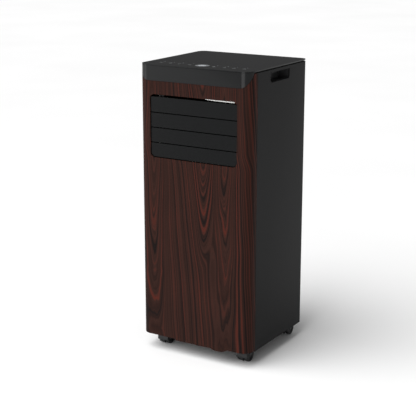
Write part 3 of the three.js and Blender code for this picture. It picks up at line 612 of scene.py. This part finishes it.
def finish_piece(name, bm, body, make, stands_for=(), edge=0.0, wall=0.0, segments=2, sharp=32):
    """Makes the finished piece: mesh, shading, wall, softened edges, material and body."""
    mesh = bpy.data.meshes.new(name)
    bm.to_mesh(mesh)
    bm.free()
    mesh.polygons.foreach_set("use_smooth", [True] * len(mesh.polygons))
    mesh.set_sharp_from_angle(angle=math.radians(sharp))
    mesh.materials.append(material_of(make))
    piece = bpy.data.objects.new(name, mesh)
    bpy.context.scene.collection.objects.link(piece)
    if wall:
        solid = piece.modifiers.new("wall", "SOLIDIFY")
        solid.thickness = wall
        solid.offset = -1
        solid.use_even_offset = True
    if edge:
        soft = piece.modifiers.new("edges", "BEVEL")
        soft.width = edge
        soft.segments = segments
        soft.limit_method = "ANGLE"
        soft.angle_limit = math.radians(40)
        soft.harden_normals = True
    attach(piece, body)
    if stands_for:
        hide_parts(*stands_for)
    return piece


# -------------------------------------------------------------------- wrapped panels


def plan_point(run):
    """Where a distance along the unrolled casing wall, from the middle of the front, lies in plan."""
    side = math.copysign(1, run)
    run = abs(run)
    if run <= FRONT_FLAT:
        return side * run, -HALF_D
    if run <= SIDE_START:
        turn = (run - FRONT_FLAT) / FRONT_R
        return side * (FRONT_FLAT + FRONT_R * math.sin(turn)), -HALF_D + FRONT_R * (1 - math.cos(turn))
    if run <= REAR_START:
        return side * HALF_W, -HALF_D + FRONT_R + run - SIDE_START
    if run <= REAR_START + REAR_ARC:
        turn = (run - REAR_START) / REAR_R
        return side * (HALF_W - REAR_R * (1 - math.cos(turn))), HALF_D - REAR_R * (1 - math.sin(turn))
    if run <= FOLD_LINE:
        return side * (HALF_W - REAR_R - (run - REAR_START - REAR_ARC)), HALF_D
    return side * FOLD_X, HALF_D - (run - FOLD_LINE)


def wrap(bm):
    """Keeps the flat shape as UVs, bends it round the casing's plan and stands it up."""
    steps = 12
    lines = [FRONT_FLAT + FRONT_ARC * i / steps for i in range(steps + 1)]
    lines += [REAR_START + REAR_ARC * i / steps for i in range(steps + 1)]
    lines.append(FOLD_LINE)
    reach = [v.co.x / MM for v in bm.verts]
    for line in [sign * run for run in lines for sign in (-1, 1)]:
        if min(reach) < line < max(reach):
            bmesh.ops.bisect_plane(bm, geom=bm.verts[:] + bm.edges[:] + bm.faces[:], dist=1e-7,
                                   plane_co=(line * MM, 0, 0), plane_no=(1, 0, 0))
    flat = bm.loops.layers.uv.new("panel")
    for face in bm.faces:
        for corner in face.loops:
            corner[flat].uv = corner.vert.co.x, corner.vert.co.y
    for vert in bm.verts:
        x, y = plan_point(vert.co.x / MM)
        vert.co = x * MM, y * MM, vert.co.y


def run_at(x):
    """Unrolled distance of a point of the front corner that stands at x."""
    if x <= FRONT_FLAT:
        return x
    return FRONT_FLAT + FRONT_R * math.asin(min(1, (x - FRONT_FLAT) / FRONT_R))


def band_sweep(shrink, top):
    """The curve between band and front panel, from its straight foot up the right corner."""
    centre_z = BAND_FOOT + BAND_ARC_Z
    points = arc(BAND_FLAT, centre_z, BAND_ARC_X - shrink, BAND_ARC_Z - shrink, -90, 0, 24)
    below = [(run_at(x), z) for x, z in points if z < top]
    return below + [(below[-1][0] + 0.6, top)]


def mirrored(points):
    return [(-u, v) for u, v in reversed(points)]


def front_panel_outline():
    """The walnut front, unrolled: its sweep at the top, its step and pull lip at the foot."""
    edge = SIDE_START + RETURN_Y + HALF_D - FRONT_R
    foot, middle_foot, lip_z = 39.3, 35.7, 31.6
    right = band_sweep(0, PANEL_TOP) + [(edge, PANEL_TOP), (edge, foot)]
    lip = [(94, foot), (88, 36.6), (80, 33.0), (72, 31.8), (67, lip_z), (60, 31.8), (53, 33.2),
           (47.5, middle_foot)]
    left = [(-49, middle_foot), (-55, foot), (-edge, foot), (-edge, PANEL_TOP)]
    return right + lip + left + mirrored(band_sweep(0, PANEL_TOP))


class AC_OT_front_panel(bpy.types.Operator):
    """Walnut-film front with the louvre opening, its returns and the pull lip"""

    bl_idname = "air_conditioner.front_panel"
    bl_label = "Front Panel"

    def execute(self, context):
        bm = bmesh.new()
        half, foot, top = OPENING["half"], OPENING["foot"], OPENING["top"]
        opening = rounded(-half, half, foot, top, OPENING["radius"], steps=8)
        flat_sheet(bm, [front_panel_outline(), opening])
        wrap(bm)
        finish_piece("walnut_front", bm, "casing", walnut_film, ["front_panel"],
                     edge=sizes().edge, wall=sizes().wall)
        return {"FINISHED"}


class AC_OT_front_band(bpy.types.Operator):
    """Glossy band between the walnut front and the deck"""

    bl_idname = "air_conditioner.front_band"
    bl_label = "Front Band"

    def execute(self, context):
        bm = bmesh.new()
        right = band_sweep(GAP, BAND_TOP)
        flat_sheet(bm, [right + mirrored(right)])
        wrap(bm)
        finish_piece("gloss_band", bm, "casing", band_black, ["front_band"],
                     edge=sizes().edge * 0.8, wall=sizes().wall)
        return {"FINISHED"}


class AC_OT_side_panels(bpy.types.Operator):
    """Right and left side panels with their handle mouths and rear folds"""

    bl_idname = "air_conditioner.side_panels"
    bl_label = "Side Panels"

    def execute(self, context):
        for side, name in ((1, "right"), (-1, "left")):
            bm = bmesh.new()
            start = SIDE_START + RETURN_Y + GAP + HALF_D - FRONT_R
            end = FOLD_LINE + FOLD_DEPTH
            middle = SIDE_START + HALF_D - FRONT_R
            mouth = rounded(middle - 46, middle + 46, 664.9, 688.1, 8, 1.2, steps=8)
            outline = [(start, SIDE_FOOT), (end, SIDE_FOOT), (end, PANEL_TOP - 2.5),
                       (FOLD_LINE + 0.5, PANEL_TOP - 2.5), (FOLD_LINE, PANEL_TOP), (start, PANEL_TOP)]
            flat_sheet(bm, [outline, mouth])
            wrap(bm)
            if side < 0:
                bmesh.ops.scale(bm, vec=(-1, 1, 1), verts=bm.verts)
                bmesh.ops.reverse_faces(bm, faces=bm.faces)
            finish_piece(f"{name}_side", bm, "casing", casing_black,
                         [f"{name}_side_panel"], edge=sizes().edge * 1.2, wall=sizes().wall)
        return {"FINISHED"}


class AC_OT_handle_pockets(bpy.types.Operator):
    """Finger pockets behind the handle mouths, with a rounded floor"""

    bl_idname = "air_conditioner.handle_pockets"
    bl_label = "Handle Pockets"

    def execute(self, context):
        for side, name in ((1, "right"), (-1, "left")):
            bm = bmesh.new()
            mouth_x, floor_x = 146.1, 121.2
            outline = rounded(-46, 46, 664.9, 688.1, 8, 1.2, steps=6)
            flat_sheet(bm, [outline])
            bmesh.ops.transform(bm, matrix=sideways(floor_x), verts=bm.verts)
            rim = [e for e in bm.edges if e.is_boundary]
            wall = bmesh.ops.extrude_edge_only(bm, edges=rim)["geom"]
            reached = [g for g in wall if isinstance(g, bmesh.types.BMVert)]
            bmesh.ops.translate(bm, verts=reached, vec=((mouth_x - floor_x) * MM, 0, 0))
            bmesh.ops.recalc_face_normals(bm, faces=bm.faces)
            inner = [f for f in bm.faces if abs(f.normal.x) > 0.9]
            if inner[0].normal.x < 0:
                bmesh.ops.reverse_faces(bm, faces=bm.faces)
            fold = [e for e in bm.edges if not e.is_boundary and e.calc_face_angle(0) > 1.2
                    and all(abs(v.co.x / MM - floor_x) < 0.1 for v in e.verts)]
            bmesh.ops.bevel(bm, geom=fold, offset=3 * MM, affect="EDGES", segments=4, profile=0.5,
                            material=-1, clamp_overlap=True)
            if side < 0:
                bmesh.ops.scale(bm, vec=(-1, 1, 1), verts=bm.verts)
                bmesh.ops.reverse_faces(bm, faces=bm.faces)
            finish_piece(f"{name}_pocket", bm, "casing", pocket_painted_light_grey,
                         [f"{name}_handle_pocket"], wall=1.6 * MM, edge=0.2 * MM)
        return {"FINISHED"}


# --------------------------------------------------------------------- top and controls


def casing_plan(inset, back=HALF_D, back_radius=REAR_R):
    """The casing's outline in plan, drawn in by inset and cut off at back."""
    radius = max(back_radius - inset, 1.5)
    return rounded(-HALF_W + inset, HALF_W - inset, -HALF_D + inset, back, FRONT_R - inset, radius,
                   steps=10)


class AC_OT_top_deck(bpy.types.Operator):
    """Deck with a softened rim, its skirt and the recess for the controls"""

    bl_idname = "air_conditioner.top_deck"
    bl_label = "Top Deck"

    def execute(self, context):
        bm = bmesh.new()
        under, recess_floor = 697.7, 699.0
        recess = casing_plan(2.2, -68, 3.7)
        plate(bm, [casing_plan(0), recess], DECK_TOP - under, level(under))
        floor = [casing_plan(1.0, -66.5, 3.7), circle(0, DISPLAY_Y, 14)]
        plate(bm, floor, recess_floor - under - 0.1, level(under + 0.05))
        plate(bm, [casing_plan(4, HALF_D - 4), casing_plan(6, HALF_D - 6)], 5.2, level(692.6))
        deck = finish_piece("deck", bm, "casing", deck_black, ["top_deck"],
                            edge=0.7 * MM, segments=3)
        # the rim is polished like the band under it
        deck.data.materials.append(material_of(band_black))
        for face in deck.data.polygons:
            if abs(face.normal.z) < 0.3 and face.center.z > under * MM:
                face.material_index = 1
        return {"FINISHED"}


def stroke(bm, points, width):
    """A printed line of one width through flat points."""
    for (u0, v0), (u1, v1) in zip(points, points[1:]):
        length, turn = math.hypot(u1 - u0, v1 - v0), math.atan2(v1 - v0, u1 - u0)
        matrix = (Matrix.Translation(((u0 + u1) / 2 * MM, (v0 + v1) / 2 * MM, DECK_TOP * MM))
                  @ Matrix.Rotation(turn, 4, "Z")
                  @ Matrix.Diagonal(((length + width * 0.6) * MM, width * MM, 0.08 * MM, 1)))
        bmesh.ops.create_cube(bm, size=1, matrix=matrix)


def power_symbol(u, v):
    return [arc(u, v, 3.4, 3.4, 125, 415, 20), [(u, v + 0.4), (u, v + 4.6)]]


def timer_symbol(u, v):
    return [arc(u, v, 3.8, 3.8, 0, 360, 24), [(u, v + 2.6), (u, v), (u + 2.0, v - 1.0)]]


def fan_symbol(u, v):
    blades = [arc(u + 2.3 * math.cos(a), v + 2.3 * math.sin(a), 1.6, 1.6, 0, 360, 10)
              for a in (math.radians(d) for d in (90, 210, 330))]
    return blades + [arc(u, v, 0.6, 0.6, 0, 360, 6)]


def moon_symbol(u, v):
    return [arc(u, v, 3.8, 3.8, 60, 300, 16) + arc(u + 2.4, v, 3.4, 3.4, 255, 105, 12)]


def minus_symbol(u, v):
    return [[(u - 3.6, v), (u + 3.6, v)]]


def plus_symbol(u, v):
    return [[(u - 3.6, v), (u + 3.6, v)], [(u, v - 3.6), (u, v + 3.6)]]


def drop_symbol(u, v):
    return [[(u, v + 4.4)] + arc(u, v - 0.8, 2.9, 2.9, 145, 395, 16) + [(u, v + 4.4)]]


def swing_symbol(u, v):
    return [arc(u, v - 3, 6.5, 6.5, 55, 125, 8), arc(u, v - 3, 3.4, 3.4, 40, 140, 8)]


# The lit bars of each seven-bar digit
SEGMENTS = {
    "2": ("top", "middle", "foot", "upper_right", "lower_left"),
    "4": ("middle", "upper_left", "upper_right", "lower_right"),
}


def digit_bars(digit, u, v):
    """The bars of one seven-bar digit, 6 mm wide and 11 mm tall."""
    w, h = 2.6, 5.0
    bars = {"top": [(u - w, v + h), (u + w, v + h)], "middle": [(u - w, v), (u + w, v)],
            "foot": [(u - w, v - h), (u + w, v - h)], "upper_left": [(u - w, v), (u - w, v + h)],
            "upper_right": [(u + w, v), (u + w, v + h)], "lower_left": [(u - w, v - h), (u - w, v)],
            "lower_right": [(u + w, v - h), (u + w, v)]}
    return [bars[name] for name in SEGMENTS[digit]]


class AC_OT_controls(bpy.types.Operator):
    """Touch overlay with generic symbols, indicator lamps and the round display"""

    bl_idname = "air_conditioner.controls"
    bl_label = "Touch Controls"

    def execute(self, context):
        bm = bmesh.new()
        outline = [casing_plan(2.6, -68.4, 3.9), circle(0, DISPLAY_Y, 17.4)]
        plate(bm, outline, 1.0, level(DECK_TOP - 1.0))
        finish_piece("touch_overlay", bm, "casing", deck_black,
                     ["control_overlay"], edge=0.25 * MM)

        bm = bmesh.new()
        spun(bm, [(0, 0), (0, 1.0), (15.6, 1.0), (16.2, 0.8), (DISPLAY_R, 0.9), (DISPLAY_R, 0)],
             (0, DISPLAY_Y, DECK_TOP - 1), Vector((0, 0, 1)), 64)
        close_up(bm)
        finish_piece("round_display", bm, "casing", display_glass, ["display_lens"])

        bm = bmesh.new()
        right = (plus_symbol, fan_symbol, timer_symbol, power_symbol)
        left = (minus_symbol, moon_symbol, drop_symbol, swing_symbol)
        width = sizes().icon_line / MM
        for row, sign in ((right, 1), (left, -1)):
            for symbol, x in zip(row, ICON_X):
                for line in symbol(sign * x, ICON_Y):
                    stroke(bm, line, width)
        finish_piece("touch_symbols", bm, "casing", symbol_ink)

        bm = bmesh.new()
        for x in [sign * x for x in ICON_X for sign in (-1, 1)]:
            spun(bm, [(0, 0), (0, 0.08), (0.9, 0.08), (0.9, 0)],
                 (x, -84, DECK_TOP - 0.02), Vector((0, 0, 1)), 10)
        close_up(bm)
        for digit, x in (("2", -4.6), ("4", 4.6)):
            for bar in digit_bars(digit, x, DISPLAY_Y):
                stroke(bm, bar, 1.3)
        finish_piece("lamps_and_digits", bm, "casing", lamp_white)
        return {"FINISHED"}


# ------------------------------------------------------------------------------ louvre


class AC_OT_louvre(bpy.types.Operator):
    """Louvre frame, its four swinging blades and the foam lip of the duct behind, which also paints a
    highlight
    """

    bl_idname = "air_conditioner.louvre"
    bl_label = "Louvre"

    def execute(self, context):
        bm = bmesh.new()
        clear, wall = 0.3, 2.5
        half, foot, top, radius = OPENING["half"], OPENING["foot"], OPENING["top"], OPENING["radius"]
        rings = [rounded(-half - g, half + g, foot - g, top + g, radius + g, steps=8)
                 for g in (clear + wall, clear)]
        plate(bm, rings, 33.6, upright(-137.6))
        finish_piece("louvre_surround", bm, "casing", louvre_black,
                     ["louvre_frame"], edge=0.4 * MM)

        for index in range(4):
            self.blade(index)

        bm = bmesh.new()
        for x in bars_between(-113, 113, 12.5):
            plate(bm, [[(-102, 489), (-78, 492), (-78, 628), (-102, 631)]], 1.4, sideways(x - 0.7))
        finish_piece("guide_vanes", bm, "casing", louvre_black, edge=0.3 * MM)

        # white foam strip over the right half of the top blade, shaped after the bright strip seen there:
        # partly the edge of the white foam duct, partly a painted highlight of the opening's rounded top
        # edge
        bm = bmesh.new()
        lip = [(26, 631.7), (34, 629.6), (52, 628.6), (108, 628.2), (111.5, 631.7)]
        plate(bm, [lip], 6, upright(-136.6))
        finish_piece("foam_lip_painted_highlight", bm, "casing", white_foam, edge=0.3 * MM)
        return {"FINISHED"}

    def blade(self, index):
        """One blade on its two pins, with the arm that the link bar moves."""
        z = TOP_PIVOT_Z - index * BLADE_PITCH
        top = z + (19 if index == 0 else 16.6)
        foot = z - (15.8 if index == 3 else 16.6)
        low, high = (9.5 if index == 3 else 1.2), (5.5 if index == 0 else 1.2)
        bm = bmesh.new()
        face = rounded(-BLADE_HALF, BLADE_HALF, foot, top, low, high)
        plate(bm, [face], BLADE_THICK, upright(BLADE_FRONT))
        back = BLADE_FRONT + BLADE_THICK
        for side in (-1, 1):
            ear_x, pin_x = sorted((side * 111.8, side * 114.8)), sorted((side * 112.5, side * 118.8))
            block(bm, (ear_x[0], back - 0.4, z - 4), (ear_x[1], PIVOT_Y + 3, z + 4))
            spun(bm, [(0, pin_x[0]), (2, pin_x[0]), (2, pin_x[1]), (0, pin_x[1])],
                 (0, PIVOT_Y, z), Vector((1, 0, 0)), 16)
        pin_y, pin_z = PIVOT_Y + CRANK_Y, z + CRANK_Z
        arm = [(back - 0.4, z + 5), (back - 0.4, z - 8), (pin_y - 1, pin_z - 3.4),
               (pin_y + 1.5, pin_z + 3.1)]
        plate(bm, [arm], 3, sideways(-101.5))
        spun(bm, [(0, -105.6), (1.5, -105.6), (1.5, -101.5), (3.4, -101.5), (3.4, -98.5), (0, -98.5)],
             (0, pin_y, pin_z), Vector((1, 0, 0)), 16)
        close_up(bm)
        finish_piece(f"blade_{index + 1}", bm, f"louvre_blade_{index + 1}", louvre_black,
                     [f"louvre_blade_{index + 1}"], edge=0.5 * MM)


# -------------------------------------------------------------------------------- rear


def bars_between(low, high, pitch):
    """Evenly spread positions between two limits, about one pitch apart."""
    count = max(2, round((high - low) / pitch))
    return [low + (high - low) * i / count for i in range(1, count)]


class AC_OT_rear_panel(bpy.types.Operator):
    """Rear panel with its intake windows, port, raised borders, blank plate and screws"""

    bl_idname = "air_conditioner.rear_panel"
    bl_label = "Rear Panel"

    def execute(self, context):
        bm = bmesh.new()
        outline = rounded(-REAR_HALF, REAR_HALF, 38, PANEL_TOP, 1.5)
        holes = [rounded(-100, 100, foot, top, 6) for foot, top in INTAKES.values()]
        holes += [circle(0, PORT_Z, 67, 64), circle(*CORD_HOLE, 7.5, 24)]
        holes += [circle(*place, 9, 24) for place in DRAINS.values()]
        holes += [circle(HOOK_X, z, 3.2, 16) for z, _ in HOOKS.values()]
        plate(bm, [outline, *holes], 2.5, upright(REAR_Y - 2.5))
        for foot, top in INTAKES.values():
            border = [rounded(-104.5, 104.5, foot - 4.5, top + 4.5, 9),
                      rounded(-101, 101, foot - 1, top + 1, 6.5)]
            plate(bm, border, 1.4, upright(REAR_Y - 0.1))
        plate(bm, [rounded(-92, -44, 655, 683, 2)], 0.5, upright(REAR_Y - 0.1))
        plate(bm, [circle(0, PORT_Z, 79, 64), circle(0, PORT_Z, 75.2, 64)], 1.0, upright(REAR_Y - 0.1))
        finish_piece("rear_plate", bm, "casing", casing_black,
                     ["rear_panel"], edge=0.35 * MM)

        bm = bmesh.new()
        for x in (-113, 113):
            for z in (46, 150, 246, 418, 532, 686):
                spun(bm, [(0, 0), (3.6, 0), (3.6, 0.8), (2.6, 1.9), (1.2, 2.2), (1.2, 1.4), (0, 1.4)],
                     (x, REAR_Y, z), Vector((0, 1, 0)), 20)
        close_up(bm)
        finish_piece("rear_screws", bm, "casing", steel_screw)
        return {"FINISHED"}


class AC_OT_filters(bpy.types.Operator):
    """Two pull-out intake filters: barred frames over woven nets"""

    bl_idname = "air_conditioner.filters"
    bl_label = "Filters"

    def execute(self, context):
        for name, (foot, top) in INTAKES.items():
            self.grille(name, foot + GAP, top - GAP)
            self.net(name, foot + 7.8, top - 7.8)
        return {"FINISHED"}

    def grille(self, name, low, high):
        half, rail, back = 99.6, 7, REAR_Y - 0.2
        bm = bmesh.new()
        window = rounded(-half + rail, half - rail, low + rail, high - rail, 1.5)
        plate(bm, [rounded(-half, half, low, high, 5.6), window], 9, upright(back - 9))
        for z in bars_between(low + rail, high - rail, 11):
            block(bm, (-half + 1, back - 4.5, z - 1.4), (half - 1, back - 0.3, z + 1.4))
        for x in (-50, 0, 50):
            block(bm, (x - 1.3, back - 6, low + 2), (x + 1.3, back - 1.5, high - 2))
        plate(bm, [rounded(-14, 14, high - 6.5, high - 2.5, 1.5)], 6, upright(back - 2))
        finish_piece(f"{name}_grille", bm, f"{name}_filter", casing_black,
                     [f"{name}_filter_frame"], edge=0.45 * MM)

    def net(self, name, low, high):
        half, thread, y = 92.2, 0.35, REAR_Y - 8.3
        pitch = sizes().net_pitch / MM
        bm = bmesh.new()
        for x in bars_between(-half, half, pitch):
            block(bm, (x - thread, y - thread, low), (x + thread, y + thread, high))
        for z in bars_between(low, high, pitch):
            block(bm, (-half, y - thread * 0.4, z - thread), (half, y + thread * 1.4, z + thread))
        border = [rounded(-half, half, low, high, 1),
                  rounded(-half + 2, half - 2, low + 2, high - 2, 1)]
        plate(bm, border, 1, upright(y - 0.5))
        finish_piece(f"{name}_net", bm, f"{name}_filter", filter_net,
                     [f"{name}_filter_mesh"])


class AC_OT_rear_fittings(bpy.types.Operator):
    """Exhaust collar, drain plugs, cord hooks and the lead's gland"""

    bl_idname = "air_conditioner.rear_fittings"
    bl_label = "Rear Fittings"

    def execute(self, context):
        back = Vector((0, 1, 0))
        face = REAR_Y + GAP
        bm = bmesh.new()
        spun(bm, [(62, 113), (65, 113), (65, face), (74, face), (74, face + 1.8), (73, face + 2.8),
                  (69.2, face + 4.2), (67.6, 140.2), (66.8, 140.5), (63.2, 140.5), (62.3, 140.0),
                  (62, 138.5)], (0, 0, PORT_Z), back, 96)
        for turn in (90, 210, 330):
            u, v = 61.4 * math.cos(math.radians(turn)), 61.4 * math.sin(math.radians(turn))
            block(bm, (u - 3, 131, PORT_Z + v - 3), (u + 3, 136, PORT_Z + v + 3))
        close_up(bm)
        finish_piece("hose_collar", bm, "casing", casing_black,
                     ["exhaust_collar"], edge=0.3 * MM)

        for name, (x, z) in DRAINS.items():
            bm = bmesh.new()
            spun(bm, [(0, 119), (4.2, 119), (4.8, 120), (4.8, face), (11, face), (11, face + 2.4),
                      (9.8, face + 3.5), (0, face + 3.5)], (x, 0, z), back, 40)
            plate(bm, [rounded(x - 1.5, x + 1.5, z - 8, z + 8, 1.4)], 5.5, upright(face + 3))
            close_up(bm)
            finish_piece(f"{name}_plug", bm, f"{name}_drain_plug", rubber_black,
                         [f"{name}_drain_plug"], edge=0.4 * MM)

        bm = bmesh.new()
        spun(bm, [(3.8, 120), (7, 120), (7, face), (10.5, face), (10.5, face + 1.8), (9.6, face + 2.8),
                  (6.5, face + 7.4), (5.8, face + 8), (3.8, face + 8)],
             (CORD_HOLE[0], 0, CORD_HOLE[1]), back, 32)
        close_up(bm)
        finish_piece("lead_gland", bm, "casing", rubber_black,
                     ["cord_gland"], edge=0.2 * MM)

        for name, (z, direction) in HOOKS.items():
            bm = bmesh.new()
            spun(bm, [(0, REAR_Y - 6), (2.6, REAR_Y - 6), (2.6, face + 1), (0, face + 1)],
                 (HOOK_X, 0, z), back, 20)
            plate(bm, [rounded(HOOK_X - 9, HOOK_X + 9, z - 7, z + 7, 2.5)], 2, upright(face))
            plate(bm, [rounded(HOOK_X - 7, HOOK_X + 7, z - 1.5, z + 1.5, 0.8)], 9, upright(face + 1))
            ends = sorted((z - direction * 1.5, z + direction * 11))
            plate(bm, [rounded(HOOK_X - 7, HOOK_X + 7, *ends, 2.5)], 2.6, upright(face + 7.6))
            close_up(bm)
            finish_piece(f"{name}_hook", bm, "casing", casing_black,
                         [f"{name}_cord_hook"], edge=0.5 * MM)
        return {"FINISHED"}


# ----------------------------------------------------------------------------- casters


class AC_OT_casters(bpy.types.Operator):
    """Four twin-wheel casters: hooded swivels and wheel pairs with rubber treads"""

    bl_idname = "air_conditioner.casters"
    bl_label = "Casters"

    def execute(self, context):
        for end, y in CASTER_Y.items():
            for side, x in (("left", -CASTER_X), ("right", CASTER_X)):
                self.hood(f"caster_{end}_{side}", x, y)
                self.wheels(f"caster_{end}_{side}", x, y)
        return {"FINISHED"}

    def hood(self, name, x, y):
        axle = y + TRAIL
        bm = bmesh.new()
        shell = arc(axle, WHEEL_R, WHEEL_R + 3, WHEEL_R + 3, 72, 192, 20)
        shell += arc(axle, WHEEL_R, WHEEL_R + 0.8, WHEEL_R + 0.8, 192, 72, 20)
        plate(bm, [shell], 28.8, sideways(x - 14.4))
        web = arc(axle, WHEEL_R, WHEEL_R + 2, WHEEL_R + 2, 72 - 34.4, 192 + 34.4, 20)
        web += [(axle, WHEEL_R - 6)]
        plate(bm, [web], 7.2, sideways(x - 3.6))
        up = Vector((0, 0, 1))
        spun(bm, [(0, 33.5), (6.5, 33.5), (6.5, 36.8), (5.9, 37.4), (0, 37.4)], (x, y, 0), up, 28)
        spun(bm, [(0, 37), (3.9, 37), (3.9, 54), (3.0, 55), (0, 55)], (x, y, 0), up, 20)
        close_up(bm)
        finish_piece(f"{name}_hood", bm, f"{name}_swivel", wheel_black,
                     [f"{name}_housing"], edge=0.6 * MM)

    def wheels(self, name, x, y):
        axle = (0, y + TRAIL, WHEEL_R)
        along = Vector((1, 0, 0))
        cores, treads = bmesh.new(), bmesh.new()
        for side in (-1, 1):
            middle = x + side * WHEEL_SPREAD
            outer = side * 4.7
            core = [(0, -outer), (14.2, -outer), (14.2, outer * 0.9), (12.4, outer), (11.4, outer),
                    (10.2, outer * 0.55), (5.2, outer * 0.55), (4.4, outer), (0, outer)]
            spun(cores, [(r, middle + h) for r, h in core], axle, along, 40)
            tread = [(14.0, -4.6), (15.6, -4.6), (16.3, -3.6), (WHEEL_R, -2.0), (WHEEL_R, 2.0),
                     (16.3, 3.6), (15.6, 4.6), (14.0, 4.6)]
            spun(treads, [(r, middle + h) for r, h in tread], axle, along, 40)
        spun(cores, [(0, x - 14), (2.1, x - 14), (2.1, x + 14), (0, x + 14)], axle, along, 16)
        close_up(cores)
        close_up(treads)
        body = f"{name}_wheelset"
        finish_piece(f"{name}_wheel_pair", cores, body, wheel_black,
                     [f"{name}_wheels"], edge=0.3 * MM)
        finish_piece(f"{name}_treads", treads, body, rubber_black)


# --------------------------------------------------------------- works and stage

CARRIED_OVER = {
    casing_black: ["base_pan"],
    louvre_black: ["upper_fan_wheel", "lower_fan_wheel"],
    link_painted_shade_black: ["louvre_link"],
    white_plastic: ["louvre_motor", "upper_fan_scroll", "lower_fan_scroll", "drain_pan",
                    "partition_plate", "exhaust_elbow"],
    white_foam: ["discharge_duct"],
    motor_steel: ["upper_fan_motor", "lower_fan_motor", "electrical_box", "capacitor"],
    fin_aluminium: ["evaporator_coil", "condenser_coil"],
    compressor_enamel: ["compressor", "accumulator"],
    copper_pipe: ["discharge_pipe", "suction_pipe", "liquid_line"],
    circuit_board: ["control_board", "power_board"],
}


class AC_OT_works(bpy.types.Operator):
    """Finishes of the base pan and of the working parts inside"""

    bl_idname = "air_conditioner.works"
    bl_label = "Works Inside"

    def execute(self, context):
        for make, names in CARRIED_OVER.items():
            for name in names:
                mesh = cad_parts[name].data
                mesh.materials.clear()
                mesh.materials.append(material_of(make))
        return {"FINISHED"}


def soft_light(name, place, target, width, height, power):
    """A rectangular soft box that faces its target."""
    data = bpy.data.lights.new(name, "AREA")
    data.shape = "RECTANGLE"
    data.size, data.size_y = width, height
    data.energy = power
    lamp = bpy.data.objects.new(name, data)
    bpy.context.scene.collection.objects.link(lamp)
    lamp.location = place
    lamp.rotation_euler = (Vector(target) - Vector(place)).to_track_quat("-Z", "Y").to_euler()
    return lamp


class AC_OT_stage(bpy.types.Operator):
    """Pale floor, white room, soft boxes and the camera"""

    bl_idname = "air_conditioner.stage"
    bl_label = "Stage"

    def execute(self, context):
        scene = context.scene
        scene.view_settings.view_transform = "Standard"
        self.floor()
        self.room(scene)
        soft_light("front_box", (0.2, -2.1, 0.5), (0, 0, 0.45), 1.2, 1.0, 8)
        soft_light("left_box", (-1.35, -0.95, 0.45), (0, 0, 0.45), 0.6, 0.9, 2.6)
        soft_light("far_box", (-2.0, -2.4, 0.5), (0, 0, 0.6), 1.4, 1.0, 3)
        sun = bpy.data.objects.new("room_light", bpy.data.lights.new("room_light", "SUN"))
        sun.data.energy, sun.data.angle = 3.0, math.radians(60)
        sun.rotation_euler = Vector((0.35, 0.75, -1.2)).to_track_quat("-Z", "Y").to_euler()
        scene.collection.objects.link(sun)
        data = bpy.data.cameras.new("camera")
        data.lens, data.sensor_width = 97.52, 36.0
        camera = bpy.data.objects.new("camera", data)
        scene.collection.objects.link(camera)
        right, up = Vector((0.85337, 0.52131, 0.0)), Vector((-0.13422, 0.21972, 0.96629))
        turn = Matrix((right, up, right.cross(up))).transposed().to_4x4()
        camera.matrix_world = Matrix.Translation((1.3468, -2.2778, 1.0470)) @ turn
        scene.camera = camera
        return {"FINISHED"}

    def floor(self):
        bm = bmesh.new()
        bmesh.ops.create_grid(bm, x_segments=2, y_segments=2, size=30)
        mesh = bpy.data.meshes.new("pale_floor")
        bm.to_mesh(mesh)
        bm.free()
        material, tree, surface = new_material("pale_floor")
        cloud = object_noise(tree, 900)
        tone = ramp(tree, cloud.outputs["Fac"], [(0.3, linear("F6F6F6")), (0.7, linear("FAFAFA"))])
        tree.links.new(tone, surface.inputs["Base Color"])
        surface.inputs["Roughness"].default_value = 0.9
        mesh.materials.append(material)
        floor = bpy.data.objects.new("pale_floor", mesh)
        bpy.context.scene.collection.objects.link(floor)

    def room(self, scene):
        """White to the eye and a little dimmer as a light."""
        world = bpy.data.worlds.new("white_room")
        scene.world = world
        world.use_nodes = True
        tree = world.node_tree
        seen = node(tree, "ShaderNodeLightPath").outputs["Is Camera Ray"]
        dim = node(tree, "ShaderNodeMapRange", {"Value": seen, "To Min": 0.3, "To Max": 1.0})
        background = tree.nodes["Background"]
        background.inputs["Color"].default_value = (1, 1, 1, 1)
        tree.links.new(dim.outputs["Result"], background.inputs["Strength"])


class AC_PT_panel(bpy.types.Panel):
    """Lists the steps that build the air conditioner"""

    bl_idname = "AC_PT_panel"
    bl_label = "Air Conditioner"
    bl_space_type = "VIEW_3D"
    bl_region_type = "UI"
    bl_category = "Air Conditioner"

    def draw(self, context):
        for group in (sizes(), colours()):
            for name in group.__annotations__:
                self.layout.prop(group, name)
        for step in STEPS:
            self.layout.operator(step.bl_idname)


STEPS = (
    AC_OT_front_panel,
    AC_OT_front_band,
    AC_OT_side_panels,
    AC_OT_handle_pockets,
    AC_OT_top_deck,
    AC_OT_controls,
    AC_OT_louvre,
    AC_OT_rear_panel,
    AC_OT_filters,
    AC_OT_rear_fittings,
    AC_OT_casters,
    AC_OT_works,
    AC_OT_stage,
)
CLASSES = (CasingSettings, FinishSettings, *STEPS, AC_PT_panel)


def register():
    for cls in CLASSES:
        bpy.utils.register_class(cls)
    bpy.types.Scene.air_conditioner_sizes = PointerProperty(type=CasingSettings)
    bpy.types.Scene.air_conditioner_colours = PointerProperty(type=FinishSettings)


def unregister():
    del bpy.types.Scene.air_conditioner_colours
    del bpy.types.Scene.air_conditioner_sizes
    for cls in reversed(CLASSES):
        bpy.utils.unregister_class(cls)


def main():
    register()
    for step in STEPS:
        group, name = step.bl_idname.split(".")
        getattr(getattr(bpy.ops, group), name)()


if __name__ == "__main__":
    main()
